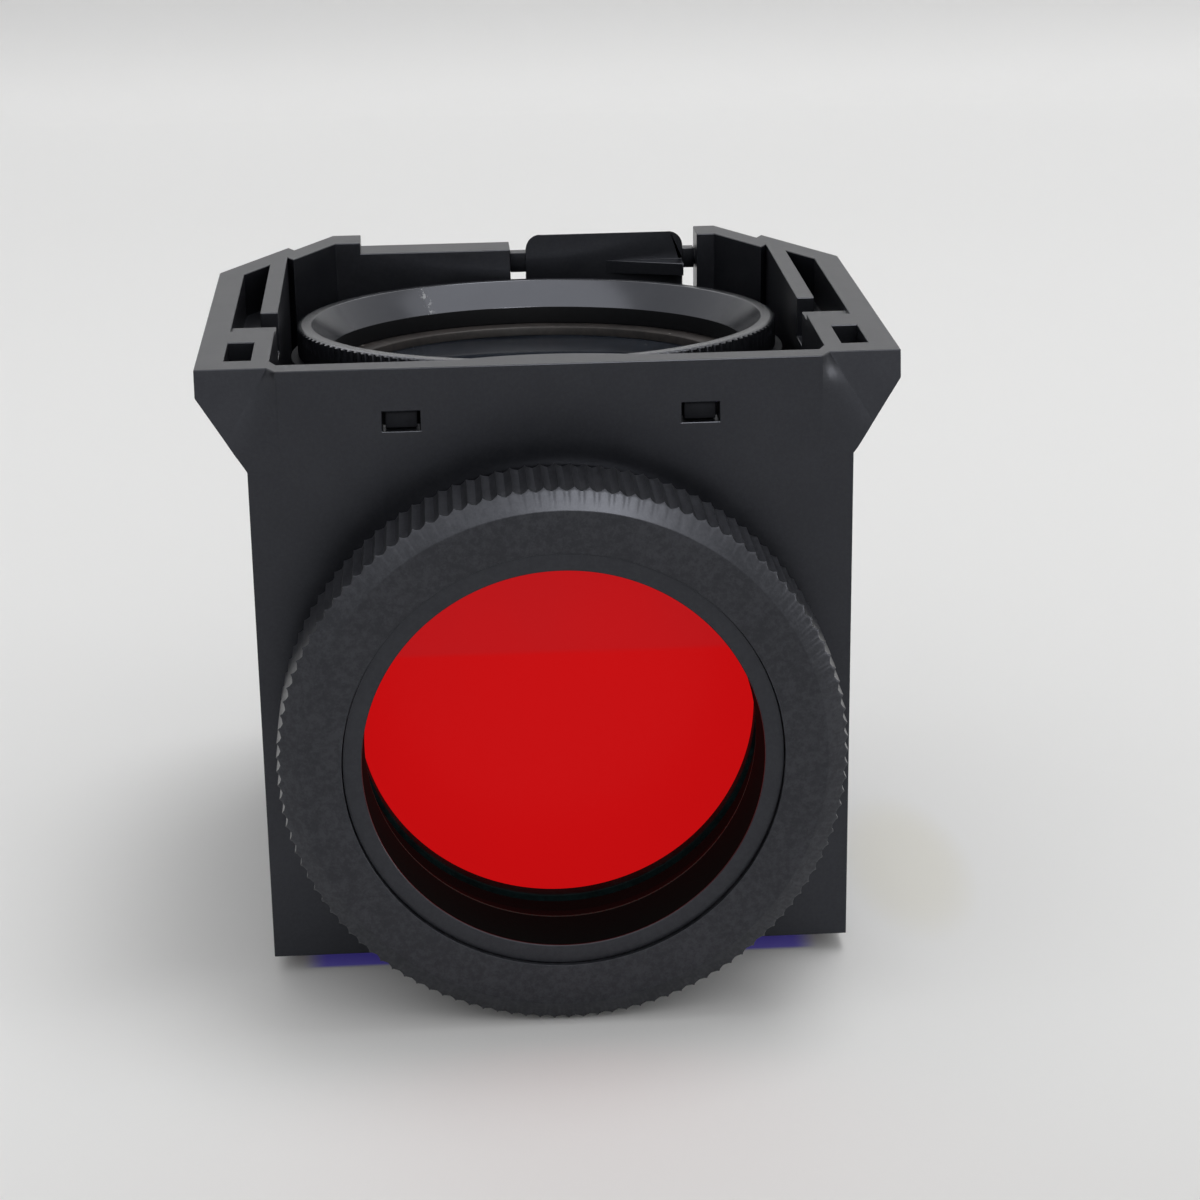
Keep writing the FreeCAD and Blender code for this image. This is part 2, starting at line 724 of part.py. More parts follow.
def make_housing():
    body = new_body("housing")
    side = half("body_width")
    wing = half("wing_span")
    edge = less(rim, name_of("wing_edge"))
    shoulder = less(edge, name_of("wing_flare"))
    profile = outline(body, "front_profile", "XZ_Plane",
                      [(minus(side), bottom), (side, bottom), (side, shoulder), (wing, edge),
                       (wing, rim), (minus(wing), rim), (minus(wing), edge),
                       (minus(side), shoulder)], minus(back))
    pad(body, "block", profile, name_of("body_depth"))
    trim_rear_corners(body)
    relieve_wing_fronts(body)
    cavity = outline(body, "cavity", "XY_Plane", cavity_outline())
    pocket(body, "cavity_cut", cavity, "4 * %s" % name_of("body_height"), middle=True)
    cut_wing_pockets(body)
    cut_back_wall(body)
    cut_front_windows(body)
    add_front_swell(body)
    add_corner_ribs(body)
    add_exciter_port(body)
    add_dichroic_rails(body)
    return body


# latch lever

def make_latch_lever():
    body = new_body("latch_lever")
    inner = less(back, name_of("lever_thickness"))
    top = less(rim, name_of("lever_drop"))
    start = less(name_of("latch_centre"), half("latch_width"))
    leaf = outline(body, "leaf_side", "YZ_Plane",
                   [(inner, lever_foot), (back, lever_foot), (back, less(top, name_of("lever_bevel"))),
                    (inner, top)], start)
    blade = pad(body, "leaf", leaf, name_of("latch_width"))
    top_value = number(sheet, top)
    low_value = number(sheet, less(top, name_of("lever_bevel")))

    def is_top_corner(edge):
        box = edge.BoundBox
        return box.XLength < 1e-3 and box.YLength > 0.1 and \
            box.ZMin > low_value - 1e-3 and box.ZMax < top_value + 1e-3
    corners = body.newObject("PartDesign::Fillet", "rounded_corners")
    corners.Base = (blade, edges_where(blade.Shape, is_top_corner))
    corners.setExpression("Radius", name_of("lever_corner"))
    doc.recompute()

    pivot = new_sketch(body, "pivot_section", "YZ_Plane",
                       less(left_edge, less(name_of("pivot_socket"), name_of("running_clearance"))))
    add_circle(pivot, pivot_depth, pivot_height, name_of("pivot_radius"))
    pad(body, "pivot", pivot,
        total(name_of("latch_width"), name_of("left_slit"), name_of("right_slit"),
              "2 * (%s)" % less(name_of("pivot_socket"), name_of("running_clearance"))))

    bars = outline(body, "bars_side", "YZ_Plane",
                   rectangle(total(inner, name_of("bar_inset")),
                             less(pivot_height, half("bar_height")),
                             less(back, name_of("bar_inset")),
                             total(pivot_height, half("bar_height"))),
                   total(left_edge, name_of("running_clearance")))
    pad(body, "bars", bars,
        less(total(name_of("latch_width"), name_of("left_slit"), name_of("right_slit")),
             "2 * %s" % name_of("running_clearance")))

    low = hook_low
    high = total(low, name_of("hook_height"))
    tip = less(inner, name_of("hook_reach"))
    root = total(inner, half("lever_thickness"))
    hook = outline(body, "hook_side", "YZ_Plane",
                   [(root, less(low, name_of("hook_fall"))), (inner, less(low, name_of("hook_fall"))),
                    (tip, low), (tip, less(high, half("hook_height"))),
                    (inner, total(high, half("hook_height"))),
                    (root, total(high, half("hook_height")))],
                   less(name_of("latch_centre"), half("hook_width")))
    pad(body, "hook", hook, name_of("hook_width"))

    ramp_end = less(total(name_of("latch_centre"), half("latch_width")), name_of("seat_gap"))
    ramp = outline(body, "ramp_plan", "XY_Plane",
                   [(less(ramp_end, name_of("ramp_length")), total(inner, half("lever_thickness"))),
                    (less(ramp_end, name_of("ramp_length")), inner),
                    (less(ramp_end, name_of("seat_gap")), less(inner, name_of("ramp_reach"))),
                    (ramp_end, total(inner, half("lever_thickness")))],
                   less(rim, name_of("ramp_drop")))
    pad(body, "ramp", ramp, name_of("ramp_height"), reverse=True)

    return body


# filter cells, shared by both sides

def filter_cell(label, front_z, lip, glass, retainer, place):
    """Cell ring, glass and locking ring of one filter, from its front face inward."""
    glass_front = less(front_z, name_of(lip))
    glass_back = less(glass_front, name_of(glass))
    cell_back = less(glass_back, name_of(retainer))
    place(turned(label + "_cell",
                 [(name_of("aperture_radius"), front_z), (name_of("filter_radius"), front_z),
                  (name_of("filter_radius"), cell_back),
                  (total(name_of("glass_radius"), name_of("seat_gap")), cell_back),
                  (total(name_of("glass_radius"), name_of("seat_gap")), glass_front),
                  (name_of("aperture_radius"), glass_front)]))
    place(turned(label + "_glass",
                 rectangle("0", glass_back, name_of("glass_radius"), glass_front)))
    place(turned(label + "_retainer",
                 rectangle(name_of("retainer_bore"), cell_back, name_of("glass_radius"),
                           glass_back)))


# exciter side

def make_exciter_ring():
    front_face = name_of("ring_front")
    shoulder = total(name_of("sleeve_flange_back"), name_of("sleeve_flange_thickness"),
                     name_of("seat_gap"))
    bore = total(name_of("sleeve_radius"), name_of("sleeve_gap"))
    thread = total(name_of("port_thread"), name_of("running_clearance"))
    body = turned("exciter_ring",
                  [(bore, front_face), (name_of("ring_face_radius"), front_face),
                   (name_of("ring_radius"), less(front_face, name_of("ring_chamfer"))),
                   (name_of("ring_radius"), name_of("knurl_back")),
                   (name_of("skirt_radius"), name_of("knurl_back")),
                   (name_of("skirt_radius"), name_of("ring_back")),
                   (thread, name_of("ring_back")), (thread, shoulder), (bore, shoulder)])
    knurl(body, name_of("ring_radius"), name_of("tooth_depth"), name_of("ring_teeth"),
          front_face)
    return set_on_exciter_axis(body)


def make_exciter_sleeve():
    front_face = less(name_of("ring_front"), name_of("sleeve_drop"))
    waist = less(front_face, name_of("sleeve_waist_depth"))
    flange_back = name_of("sleeve_flange_back")
    flange_front = total(flange_back, name_of("sleeve_flange_thickness"))
    spigot = less(name_of("port_bore"), "2 * %s" % name_of("running_clearance"))
    return set_on_exciter_axis(turned(
        "exciter_sleeve",
        [(name_of("sleeve_lip"), front_face), (name_of("sleeve_radius"), front_face),
         (name_of("sleeve_radius"), flange_front), (name_of("sleeve_flange"), flange_front),
         (name_of("sleeve_flange"), flange_back), (spigot, flange_back),
         (spigot, name_of("sleeve_end")), (name_of("sleeve_rear_bore"), name_of("sleeve_end")),
         (name_of("sleeve_rear_bore"), waist), (name_of("sleeve_waist"), waist)]))


def make_exciter_washer():
    return set_on_exciter_axis(turned(
        "exciter_washer",
        rectangle(name_of("washer_bore"), exciter_cell_front, name_of("washer_radius"),
                  name_of("sleeve_end"))))


def make_exciter_gasket():
    return set_on_exciter_axis(turned(
        "exciter_gasket",
        rectangle(name_of("seat_bore"), less(exciter_cell_back, name_of("gasket_thickness")),
                  name_of("filter_radius"), exciter_cell_back)))


# emitter side

def make_emitter_ring():
    bevel = minus(name_of("emitter_lip_bevel"))
    body = turned("emitter_ring",
                  [(name_of("emitter_bore"), minus(name_of("mouth_depth"))),
                   (less(name_of("lip_radius"), name_of("lip_width")), "0"),
                   (name_of("lip_radius"), "0"), (name_of("emitter_ring_radius"), bevel),
                   (name_of("emitter_ring_radius"), minus(name_of("flange_height"))),
                   (name_of("emitter_thread"), minus(name_of("flange_height"))),
                   (name_of("emitter_thread"), minus(name_of("skirt_depth"))),
                   (total(name_of("filter_radius"), name_of("running_clearance")),
                    minus(name_of("skirt_depth"))),
                   (total(name_of("filter_radius"), name_of("running_clearance")),
                    total(cell_top, name_of("seat_gap"))),
                   (name_of("emitter_bore"), total(cell_top, name_of("seat_gap")))])
    return set_on_emitter_axis(body)


def make_emitter_gasket():
    return set_on_emitter_axis(turned(
        "emitter_gasket",
        rectangle(name_of("seat_bore"), minus(name_of("seat_depth")),
                  name_of("filter_radius"), cell_bottom)))


def make_emitter_holder():
    """Cup with the filter's seat, two hooks in front and the tab under the lever's hook."""
    seat = minus(name_of("seat_depth"))
    floor = minus(name_of("floor_depth"))
    top = minus(name_of("cup_top"))
    cup_radius = name_of("cup_radius")
    cup_bore = name_of("cup_bore")
    body = turned("emitter_holder",
                  [(name_of("seat_bore"), floor), (cup_radius, floor), (cup_radius, top),
                   (cup_bore, top), (cup_bore, seat), (name_of("seat_bore"), seat)])
    root = less(cup_radius, half("cup_wall"))
    arms = new_sketch(body, "arms_plan", "XY_Plane", less(top, name_of("seat_gap")))
    inner = less(name_of("window_offset"), half("arm_width"))
    outer = total(name_of("window_offset"), half("arm_width"))
    depth_at_outer = "sqrt((%s)^2 - (%s)^2)" % (root, outer)
    for side_points in mirrored_sides(rectangle(inner, minus(arm_reach), outer, minus(depth_at_outer))):
        add_outline(arms, side_points)
    pad(body, "arms", arms, name_of("arm_thickness"), reverse=True)

    tab_end = name_of("tab_reach")
    tab_under = minus(total(name_of("tab_top"), name_of("tab_thickness")))
    tab = outline(body, "tab_side", "YZ_Plane",
                  [(less(cup_bore, name_of("cup_wall")), tab_under), (tab_end, tab_under),
                   (tab_end, minus(total(name_of("tab_top"), name_of("tab_fall")))),
                   (less(tab_end, name_of("tab_bevel")), minus(name_of("tab_top"))),
                   (less(cup_bore, name_of("cup_wall")), minus(name_of("tab_top")))],
                  less(name_of("latch_centre"), half("tab_width")))
    pad(body, "tab", tab, name_of("tab_width"))
    clear = outline(body, "cup_clear_section", "XZ_Plane",
                    rectangle("0", seat, cup_bore, "0"))
    groove = body.newObject("PartDesign::Groove", "cup_clear")
    groove.Profile = clear
    groove.ReferenceAxis = (clear, ["V_Axis"])
    groove.Angle = 360
    doc.recompute()
    return set_on_emitter_axis(body)


# dichroic

def make_dichroic_frame():
    """A slanted tray for the mirror, its corners cut to the shape of the open middle."""
    tray = new_body("dichroic_tray")
    length = half("mirror_length")
    end = total(length, name_of("mirror_gap"), name_of("frame_end"))
    side = half("frame_width")
    plate = outline(tray, "tray_plan", "XY_Plane", rectangle(minus(side), minus(end), side, end),
                    minus(name_of("frame_lip")))
    pad(tray, "tray_plate", plate, total(name_of("frame_lip"), name_of("mirror_thickness")))
    recess_half = total(half("mirror_width"), name_of("mirror_gap"))
    recess_end = total(length, name_of("mirror_gap"))
    recess = outline(tray, "tray_recess", "XY_Plane",
                     rectangle(minus(recess_half), minus(recess_end), recess_half, recess_end),
                     name_of("mirror_thickness"))
    pocket(tray, "tray_recess_cut", recess, name_of("mirror_thickness"))
    open_half = less(half("mirror_width"), name_of("frame_ledge"))
    open_end = less(length, name_of("frame_ledge"))
    opening = outline(tray, "tray_opening", "XY_Plane",
                      rectangle(minus(open_half), minus(open_end), open_half, open_end),
                      name_of("mirror_thickness"))
    pocket(tray, "tray_opening_cut", opening,
           total(name_of("mirror_thickness"), name_of("frame_lip"), name_of("cut_margin")))
    holes = new_sketch(tray, "tray_holes", "XY_Plane", name_of("mirror_thickness"))
    for x in (screw_x, minus(screw_x)):
        for y in (name_of("screw_offset"), minus(name_of("screw_offset"))):
            add_circle(holes, x, y, total(name_of("screw_radius"), name_of("running_clearance")))
    pocket(tray, "tray_holes_cut", holes,
           total(name_of("mirror_thickness"), name_of("frame_lip"), name_of("cut_margin")))
    set_on_dichroic(tray)

    room = new_body("dichroic_room")
    plan = outline(room, "room_plan", "XY_Plane", cavity_outline(name_of("frame_clearance")),
                   total(bottom, name_of("frame_clearance")))
    height = less(name_of("lip_height"), name_of("floor_depth"), name_of("frame_top_clearance"),
                  bottom, name_of("frame_clearance"))
    pad(room, "room", plan, height)

    frame = doc.addObject("Part::Common", "dichroic_frame")
    frame.Base = tray
    frame.Tool = room
    doc.recompute()
    return frame


def make_dichroic_mirror():
    body = new_body("dichroic_mirror")
    side = half("mirror_width")
    end = half("mirror_length")
    plan = outline(body, "mirror_plan", "XY_Plane", rectangle(minus(side), minus(end), side, end))
    pad(body, "mirror_glass", plan, name_of("mirror_thickness"))
    return set_on_dichroic(body)


def make_dichroic_clip(label, sign):
    """Leaf of spring steel, with a finger at each end that presses on the mirror."""
    body = new_body(label)
    outer = less(half("frame_width"), name_of("frame_clearance"))
    inner = less(outer, name_of("clip_strip"))
    tip = less(half("mirror_width"), name_of("clip_overlap"))
    end = half("clip_length")
    finger = less(end, name_of("clip_finger"))
    points = [(outer, minus(end)), (outer, end), (tip, end), (tip, finger), (inner, finger),
              (inner, minus(finger)), (tip, minus(finger)), (tip, minus(end))]
    points = [("%s(%s)" % (sign, x), y) for x, y in points]
    plan = new_sketch(body, label + "_plan", "XY_Plane", name_of("mirror_thickness"))
    add_outline(plan, points)
    for y in (name_of("screw_offset"), minus(name_of("screw_offset"))):
        add_circle(plan, "%s(%s)" % (sign, screw_x), y,
                   total(name_of("screw_radius"), name_of("running_clearance")))
    pad(body, label + "_leaf", plan, name_of("clip_thickness"))
    return set_on_dichroic(body)


def make_dichroic_screws():
    """Four pan screws through clip, frame and rail."""
    screws = []
    under_head = total(name_of("mirror_thickness"), name_of("clip_thickness"))
    for across in (screw_x, minus(screw_x)):
        for along in (name_of("screw_offset"), minus(name_of("screw_offset"))):
            index = len(screws) + 1
            shank = doc.addObject("Part::Cylinder", "screw_shank_%d" % index)
            shank.setExpression("Radius", name_of("screw_radius"))
            shank.setExpression("Height", total(under_head, name_of("frame_lip"),
                                                name_of("screw_grip"), half("screw_head_height")))
            head = doc.addObject("Part::Cylinder", "screw_head_%d" % index)
            head.setExpression("Radius", name_of("screw_head_radius"))
            head.setExpression("Height", name_of("screw_head_height"))
            for piece, height in ((shank, minus(total(name_of("frame_lip"),
                                                      name_of("screw_grip")))),
                                  (head, under_head)):
                piece.Placement = Placement(Vector(), Rotation(Vector(1, 0, 0), -45))
                piece.setExpression("Placement.Base.x", across)
                piece.setExpression("Placement.Base.y", "sqrt(0.5) * ((%s) + (%s))" % (along, height))
                piece.setExpression("Placement.Base.z", "sqrt(0.5) * ((%s) - (%s))" % (height, along))
            screw = doc.addObject("Part::Fuse", "screw_%d" % index)
            screw.Base = head
            screw.Tool = shank
            screws.append(screw)
    group = doc.addObject("Part::Compound", "dichroic_screws")
    group.Links = screws
    doc.recompute()
    return group


make_housing()
make_latch_lever()
make_exciter_ring()
make_exciter_sleeve()
make_exciter_washer()
filter_cell("exciter", exciter_cell_front, "exciter_lip", "exciter_glass_thickness",
            "exciter_retainer_thickness", set_on_exciter_axis)
make_exciter_gasket()
make_emitter_holder()
make_emitter_ring()
filter_cell("emitter", cell_top, "emitter_lip", "emitter_glass_thickness",
            "emitter_retainer_thickness", set_on_emitter_axis)
make_emitter_gasket()
make_dichroic_frame()
make_dichroic_mirror()
make_dichroic_clip("dichroic_clip_right", "")
make_dichroic_clip("dichroic_clip_left", "-")
make_dichroic_screws()

nodes = [
    "housing", "latch_lever", "exciter_ring", "exciter_sleeve", "exciter_washer", "exciter_cell",
    "exciter_glass", "exciter_retainer", "exciter_gasket", "emitter_holder", "emitter_ring",
    "emitter_cell", "emitter_glass", "emitter_retainer", "emitter_gasket", "dichroic_frame",
    "dichroic_mirror", "dichroic_clip_right", "dichroic_clip_left", "dichroic_screws",
]

doc.recompute()
for item in doc.Objects:
    if "Invalid" in item.State or "Error" in item.State:
        raise RuntimeError("%s did not build: %s" % (item.Label, item.State))
pieces = {name: doc.getObjectsByLabel(name)[0] for name in nodes}
for name, piece in pieces.items():
    if piece.Shape.isNull() or not piece.Shape.isValid():
        raise RuntimeError("%s has no valid shape" % name)

os.makedirs("parts", exist_ok=True)
for name, piece in pieces.items():
    piece.Shape.exportStep("parts/%s.step" % name)
    print("%-20s %d solid(s), %.1f mm3" % (name, len(piece.Shape.Solids), piece.Shape.Volume))
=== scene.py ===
import math

import bmesh
import bpy
from mathutils import Matrix, Vector


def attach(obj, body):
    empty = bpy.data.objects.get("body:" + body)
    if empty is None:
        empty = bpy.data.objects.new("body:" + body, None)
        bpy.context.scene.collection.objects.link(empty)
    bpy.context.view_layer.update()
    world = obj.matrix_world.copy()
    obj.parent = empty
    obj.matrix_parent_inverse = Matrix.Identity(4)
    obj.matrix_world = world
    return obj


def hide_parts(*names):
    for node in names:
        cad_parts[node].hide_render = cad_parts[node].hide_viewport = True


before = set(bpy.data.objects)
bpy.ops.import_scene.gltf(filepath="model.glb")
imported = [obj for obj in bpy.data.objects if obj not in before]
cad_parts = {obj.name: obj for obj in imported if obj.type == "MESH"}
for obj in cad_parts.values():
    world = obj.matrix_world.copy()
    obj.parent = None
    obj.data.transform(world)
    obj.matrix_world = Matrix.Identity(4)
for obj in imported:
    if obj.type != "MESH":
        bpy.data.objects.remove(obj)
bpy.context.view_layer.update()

# lengths are written in millimetres and turned to metres when a piece is finished
mm = 0.001


# shader nodes

class Wire:
    # an output socket, with the usual arithmetic
    def __init__(self, nodes, socket):
        self.nodes = nodes
        self.socket = socket

    def math(self, operation, *values):
        return self.nodes.make("Math", {"operation": operation}, dict(enumerate(values)))

    def __add__(self, other):
        return self.math("ADD", self, other)

    def __radd__(self, other):
        return self.math("ADD", other, self)

    def __sub__(self, other):
        return self.math("SUBTRACT", self, other)

    def __rsub__(self, other):
        return self.math("SUBTRACT", other, self)

    def __mul__(self, other):
        return self.math("MULTIPLY", self, other)

    def __rmul__(self, other):
        return self.math("MULTIPLY", other, self)

    def __truediv__(self, other):
        return self.math("DIVIDE", self, other)

    def __pow__(self, other):
        return self.math("POWER", self, other)

    def above(self, other):
        return self.math("GREATER_THAN", self, other)

    def below(self, other):
        return self.math("LESS_THAN", self, other)

    def size(self):
        return self.math("ABSOLUTE", self)

    def between(self, low, high):
        return self.nodes.make("MapRange", {"interpolation_type": "SMOOTHSTEP"},
                               {"Value": self, "From Min": low, "From Max": high})


class Nodes:
    # the node tree of one material or of the world
    def __init__(self, tree):
        self.tree = tree
        tree.nodes.clear()

    def make(self, kind, settings=None, sockets=None, output=0):
        node = self.tree.nodes.new("ShaderNode" + kind)
        for key, value in (settings or {}).items():
            setattr(node, key, value)
        for key, value in (sockets or {}).items():
            self.feed(node.inputs[key], value)
        return Wire(self, node.outputs[output] if len(node.outputs) else None)

    def feed(self, socket, value):
        if isinstance(value, Wire):
            self.tree.links.new(value.socket, socket)
        elif socket.type == "RGBA" and len(value) == 3:
            socket.default_value = (*value, 1.0)
        else:
            socket.default_value = value

    def mix(self, factor, first, second):
        return self.make("Mix", {"data_type": "RGBA"}, {0: factor, 6: first, 7: second}, 2)

    def place(self, output="Object"):
        return self.make("TexCoord", {}, {}, output)

    def noise(self, where, scale, detail=2.0, roughness=0.5):
        return self.make("TexNoise", {}, {"Vector": where, "Scale": scale, "Detail": detail,
                                          "Roughness": roughness})

    def spots(self, where, scale, output="Distance"):
        return self.make("TexVoronoi", {}, {"Vector": where, "Scale": scale}, output)

    def split(self, where):
        node = self.make("SeparateXYZ", {}, {"Vector": where}).socket.node
        return [Wire(self, node.outputs[axis]) for axis in "XYZ"]

    def specks(self, where, scale, size, share):
        # separate dots, in a share of the cells of a pattern
        node = self.spots(where, scale).socket.node
        near = Wire(self, node.outputs["Distance"]).between(size, size * 0.5)
        return near * Wire(self, node.outputs["Color"]).above(share)

    def bump(self, height, distance, strength=1.0):
        return self.make("Bump", {}, {"Height": height, "Distance": distance,
                                      "Strength": strength})

    def finish(self, shader):
        self.make("OutputMaterial", {}, {"Surface": shader})


def newMaterial(name):
    material = bpy.data.materials.new(name)
    material.use_nodes = True
    return material, Nodes(material.node_tree)


# the black finishes mirror a little more blue than red
gloss = (0.86, 0.89, 1.0, 1.0)

plastic = {
    "dark": (0.0055, 0.0060, 0.0082), "light": (0.0115, 0.0122, 0.0150),
    "grain": 4200.0, "fine": 11000.0, "blotch": 330.0, "relief": 0.006 * mm,
    "rough": (0.28, 0.36), "ior": 1.5,
}
# the pieces inside are duller, and mirror less
innerPlastic = dict(plastic, dark=(0.0030, 0.0032, 0.0042), light=(0.0065, 0.0068, 0.0085),
                    rough=(0.50, 0.62), ior=1.27)


def mouldedMaterial(name, look):
    material, nodes = newMaterial(name)
    where = nodes.place()
    grain = nodes.noise(where, look["grain"], 3.0, 0.6)
    fine = nodes.noise(where, look["fine"], 2.0)
    blotch = nodes.noise(where, look["blotch"], 3.0, 0.6)
    shade = (grain * 0.45 + fine * 0.2 + blotch * 0.35).between(0.38, 0.64)
    colour = nodes.mix(shade, look["dark"], look["light"])
    low, high = look["rough"]
    shader = nodes.make("BsdfPrincipled", {}, {
        "Base Color": colour, "Roughness": low + blotch * (high - low), "IOR": look["ior"],
        "Specular Tint": gloss,
        "Normal": nodes.bump(grain * 0.7 + fine * 0.3, look["relief"], 0.5)})
    nodes.finish(shader)
    return material


knurledFinish = {
    "dark": (0.0035, 0.0038, 0.0050), "light": (0.0180, 0.0185, 0.0215),
    "grain": 3000.0, "fine": 9000.0, "relief": 0.010 * mm, "rough": (0.30, 0.38), "ior": 1.5,
    "cloud": 420.0, "worn": 0.35, "wornTone": (0.30, 0.30, 0.29), "wornSpots": (420.0, 0.07, 0.72),
}
lipFinish = dict(knurledFinish, dark=(0.0060, 0.0064, 0.0082), light=(0.0120, 0.0127, 0.0150),
                 relief=0.004 * mm, worn=0.0)
coneFinish = dict(lipFinish, relief=0.003 * mm, rough=(0.16, 0.26), ior=1.76)
boreBlack = {"dark": (0.002, 0.0022, 0.0028), "light": (0.006, 0.0064, 0.008), "grain": 3000.0,
             "rough": 0.55, "shine": 0.12, "radius": 12.8 * mm, "upright": 0.3}
# a pale grainy line across the cone: its edge's direction in degrees, its grains, and a darker
# band beside it
coneMark = {
    "angle": 120.5, "reach": 13.18 * mm, "edge": 0.42 * mm, "edgeShare": 0.75, "grains": 3600.0,
    "tones": ((0.05, 0.052, 0.058), (0.40, 0.41, 0.43)), "rough": 0.5,
    "band": 2.6 * mm, "bandStart": 0.2 * mm, "bandShare": 0.20,
}


def anodisedShader(nodes, where, look):
    grain = nodes.noise(where, look["grain"], 3.0, 0.6)
    fine = nodes.noise(where, look["fine"], 2.0)
    cloud = nodes.noise(where, look["cloud"], 3.0, 0.6)
    shade = (grain * 0.5 + fine * 0.25 + cloud * 0.25).between(0.40, 0.62)
    colour = nodes.mix(shade, look["dark"], look["light"])
    worn = nodes.specks(where, *look["wornSpots"])
    colour = nodes.mix(worn * look["worn"], colour, look["wornTone"])
    low, high = look["rough"]
    return nodes.make("BsdfPrincipled", {}, {
        "Base Color": colour, "Roughness": low + cloud * (high - low), "IOR": look["ior"],
        "Specular Tint": gloss,
        "Normal": nodes.bump(grain * 0.7 + fine * 0.3, look["relief"], 0.5)})


def anodisedMaterial(name, look):
    material, nodes = newMaterial(name)
    nodes.finish(anodisedShader(nodes, nodes.place(), look))
    return material


def dullShader(nodes, where, look):
    grain = nodes.noise(where, look["grain"])
    return nodes.make("BsdfPrincipled", {}, {
        "Base Color": nodes.mix(grain, look["dark"], look["light"]),
        "Roughness": look["rough"], "Specular IOR Level": look["shine"]})


def coneMaterial(look, mark, black):
    # the seat of the mouth carries a pale grainy line with a darker band beside it, the bore under
    # it is dull black
    material, nodes = newMaterial("turnedAnodised")
    where = nodes.place()
    across, along = nodes.split(where)[:2]
    reach = (across * across + along * along) ** 0.5
    dull = dullShader(nodes, where, black)
    turn = math.radians(mark["angle"])
    aside = across * -math.sin(turn) + along * math.cos(turn)
    left = across.below(0.0) * along.above(0.0) * reach.below(mark["reach"])
    grains = nodes.noise(where, mark["grains"], 3.0, 0.7).between(0.50, 0.60)
    edge = aside.size().between(mark["edge"], mark["edge"] * 0.2) * grains * left
    pale = nodes.make("BsdfPrincipled", {}, {
        "Base Color": nodes.mix(grains, *mark["tones"]), "Roughness": mark["rough"]})
    band = aside.between(0.0, mark["bandStart"]) * left
    band = band * aside.between(mark["band"], mark["band"] * 0.4)
    upright = nodes.split(nodes.place("Normal"))[2].size().below(black["upright"])
    bore = upright * reach.below(black["radius"])
    shader = anodisedShader(nodes, where, look)
    shader = nodes.make("MixShader", {}, {0: band * mark["bandShare"], 1: shader, 2: dull})
    shader = nodes.make("MixShader", {}, {0: edge * mark["edgeShare"], 1: shader, 2: pale})
    nodes.finish(nodes.make("MixShader", {}, {0: bore, 1: shader, 2: dull}))
    return material


sleeveLook = {
    "front": -17.4 * mm, "waist": 3.7 * mm, "ridge": 0.10 * mm, "bore": 11.3 * mm,
    "boreEnd": 7.1 * mm,
    "black": {"dark": (0.0012, 0.0026, 0.0025), "light": (0.0026, 0.0052, 0.0050),
              "grain": 5200.0, "rough": 0.80, "shine": 0.03},
    # painted highlight: the thin ridge is a lighter copy of the bore's black; the red glass lights
    # the bore, so the ridge keeps to the other two colours
    "ridgeHighlight": {"dark": (0.012, 0.040, 0.036), "light": (0.030, 0.085, 0.076),
              "grain": 5200.0, "rough": 0.50, "shine": 0.05},
}


def sleeveMaterial(look):
    # satin lip, and a dead black bore but for the thin ridge at its waist, painted lighter as a
    # highlight
    material, nodes = newMaterial("exciterSleeve")
    where = nodes.place()
    across, along, up = nodes.split(where)
    reach = (across * across + up * up) ** 0.5
    depth = look["front"] - along
    ridge = (depth - look["waist"]).size().below(look["ridge"])
    bore = nodes.make("MixShader", {}, {0: ridge, 1: dullShader(nodes, where, look["black"]),
                                        2: dullShader(nodes, where, look["ridgeHighlight"])})
    inside = reach.below(look["bore"]) * depth.below(look["boreEnd"])
    nodes.finish(nodes.make("MixShader", {}, {
        0: inside, 1: anodisedShader(nodes, where, lipFinish), 2: bore}))
    return material


# painted light: the filter glows red, and a painted reflection edge splits the glow into a lower
# and an upper zone
redGlass = {
    "lower": (0.575, 0.0046, 0.0056), "upper": (0.505, 0.0085, 0.0108),
    "edge": (3.25 * mm, 3.65 * mm), "paintedGlow": 0.86, "base": 0.22,
}


def redFilterMaterial(look):
    # an interference filter: a painted red glow stands in for the red it sends back, and a painted
    # reflection splits it into two zones
    material, nodes = newMaterial("exciterFilter")
    where = nodes.place()
    up = nodes.split(where)[2]
    cloud = nodes.noise(where, 160.0, 2.0)
    # painted reflection: above this height the red is a little darker
    paintedReflectionZone = (up + cloud * 0.2 * mm).between(*look["edge"])
    colour = nodes.mix(paintedReflectionZone, look["lower"], look["upper"])
    soft = nodes.mix(cloud.between(0.2, 0.8) * 0.25, colour, (0.62, 0.0044, 0.0055))
    shader = nodes.make("BsdfPrincipled", {}, {
        "Base Color": nodes.mix(look["base"], (0.0, 0.0, 0.0), soft), "Roughness": 0.30,
        "Specular IOR Level": 0.03, "Emission Color": soft, "Emission Strength": look["paintedGlow"]})
    nodes.finish(shader)
    return material


def emitterFilterMaterial():
    material, nodes = newMaterial("emitterFilter")
    where = nodes.place()
    haze = nodes.noise(where, 300.0, 3.0, 0.6)
    colour = nodes.mix(haze.between(0.35, 0.7), (0.018, 0.023, 0.033), (0.030, 0.037, 0.050))
    dust = nodes.specks(where, 900.0, 0.10, 0.66)
    colour = nodes.mix(dust * 0.6, colour, (0.30, 0.31, 0.32))
    shader = nodes.make("BsdfPrincipled", {}, {
        "Base Color": colour, "Roughness": 0.04 + haze * 0.04, "IOR": 1.5})
    nodes.finish(shader)
    return material


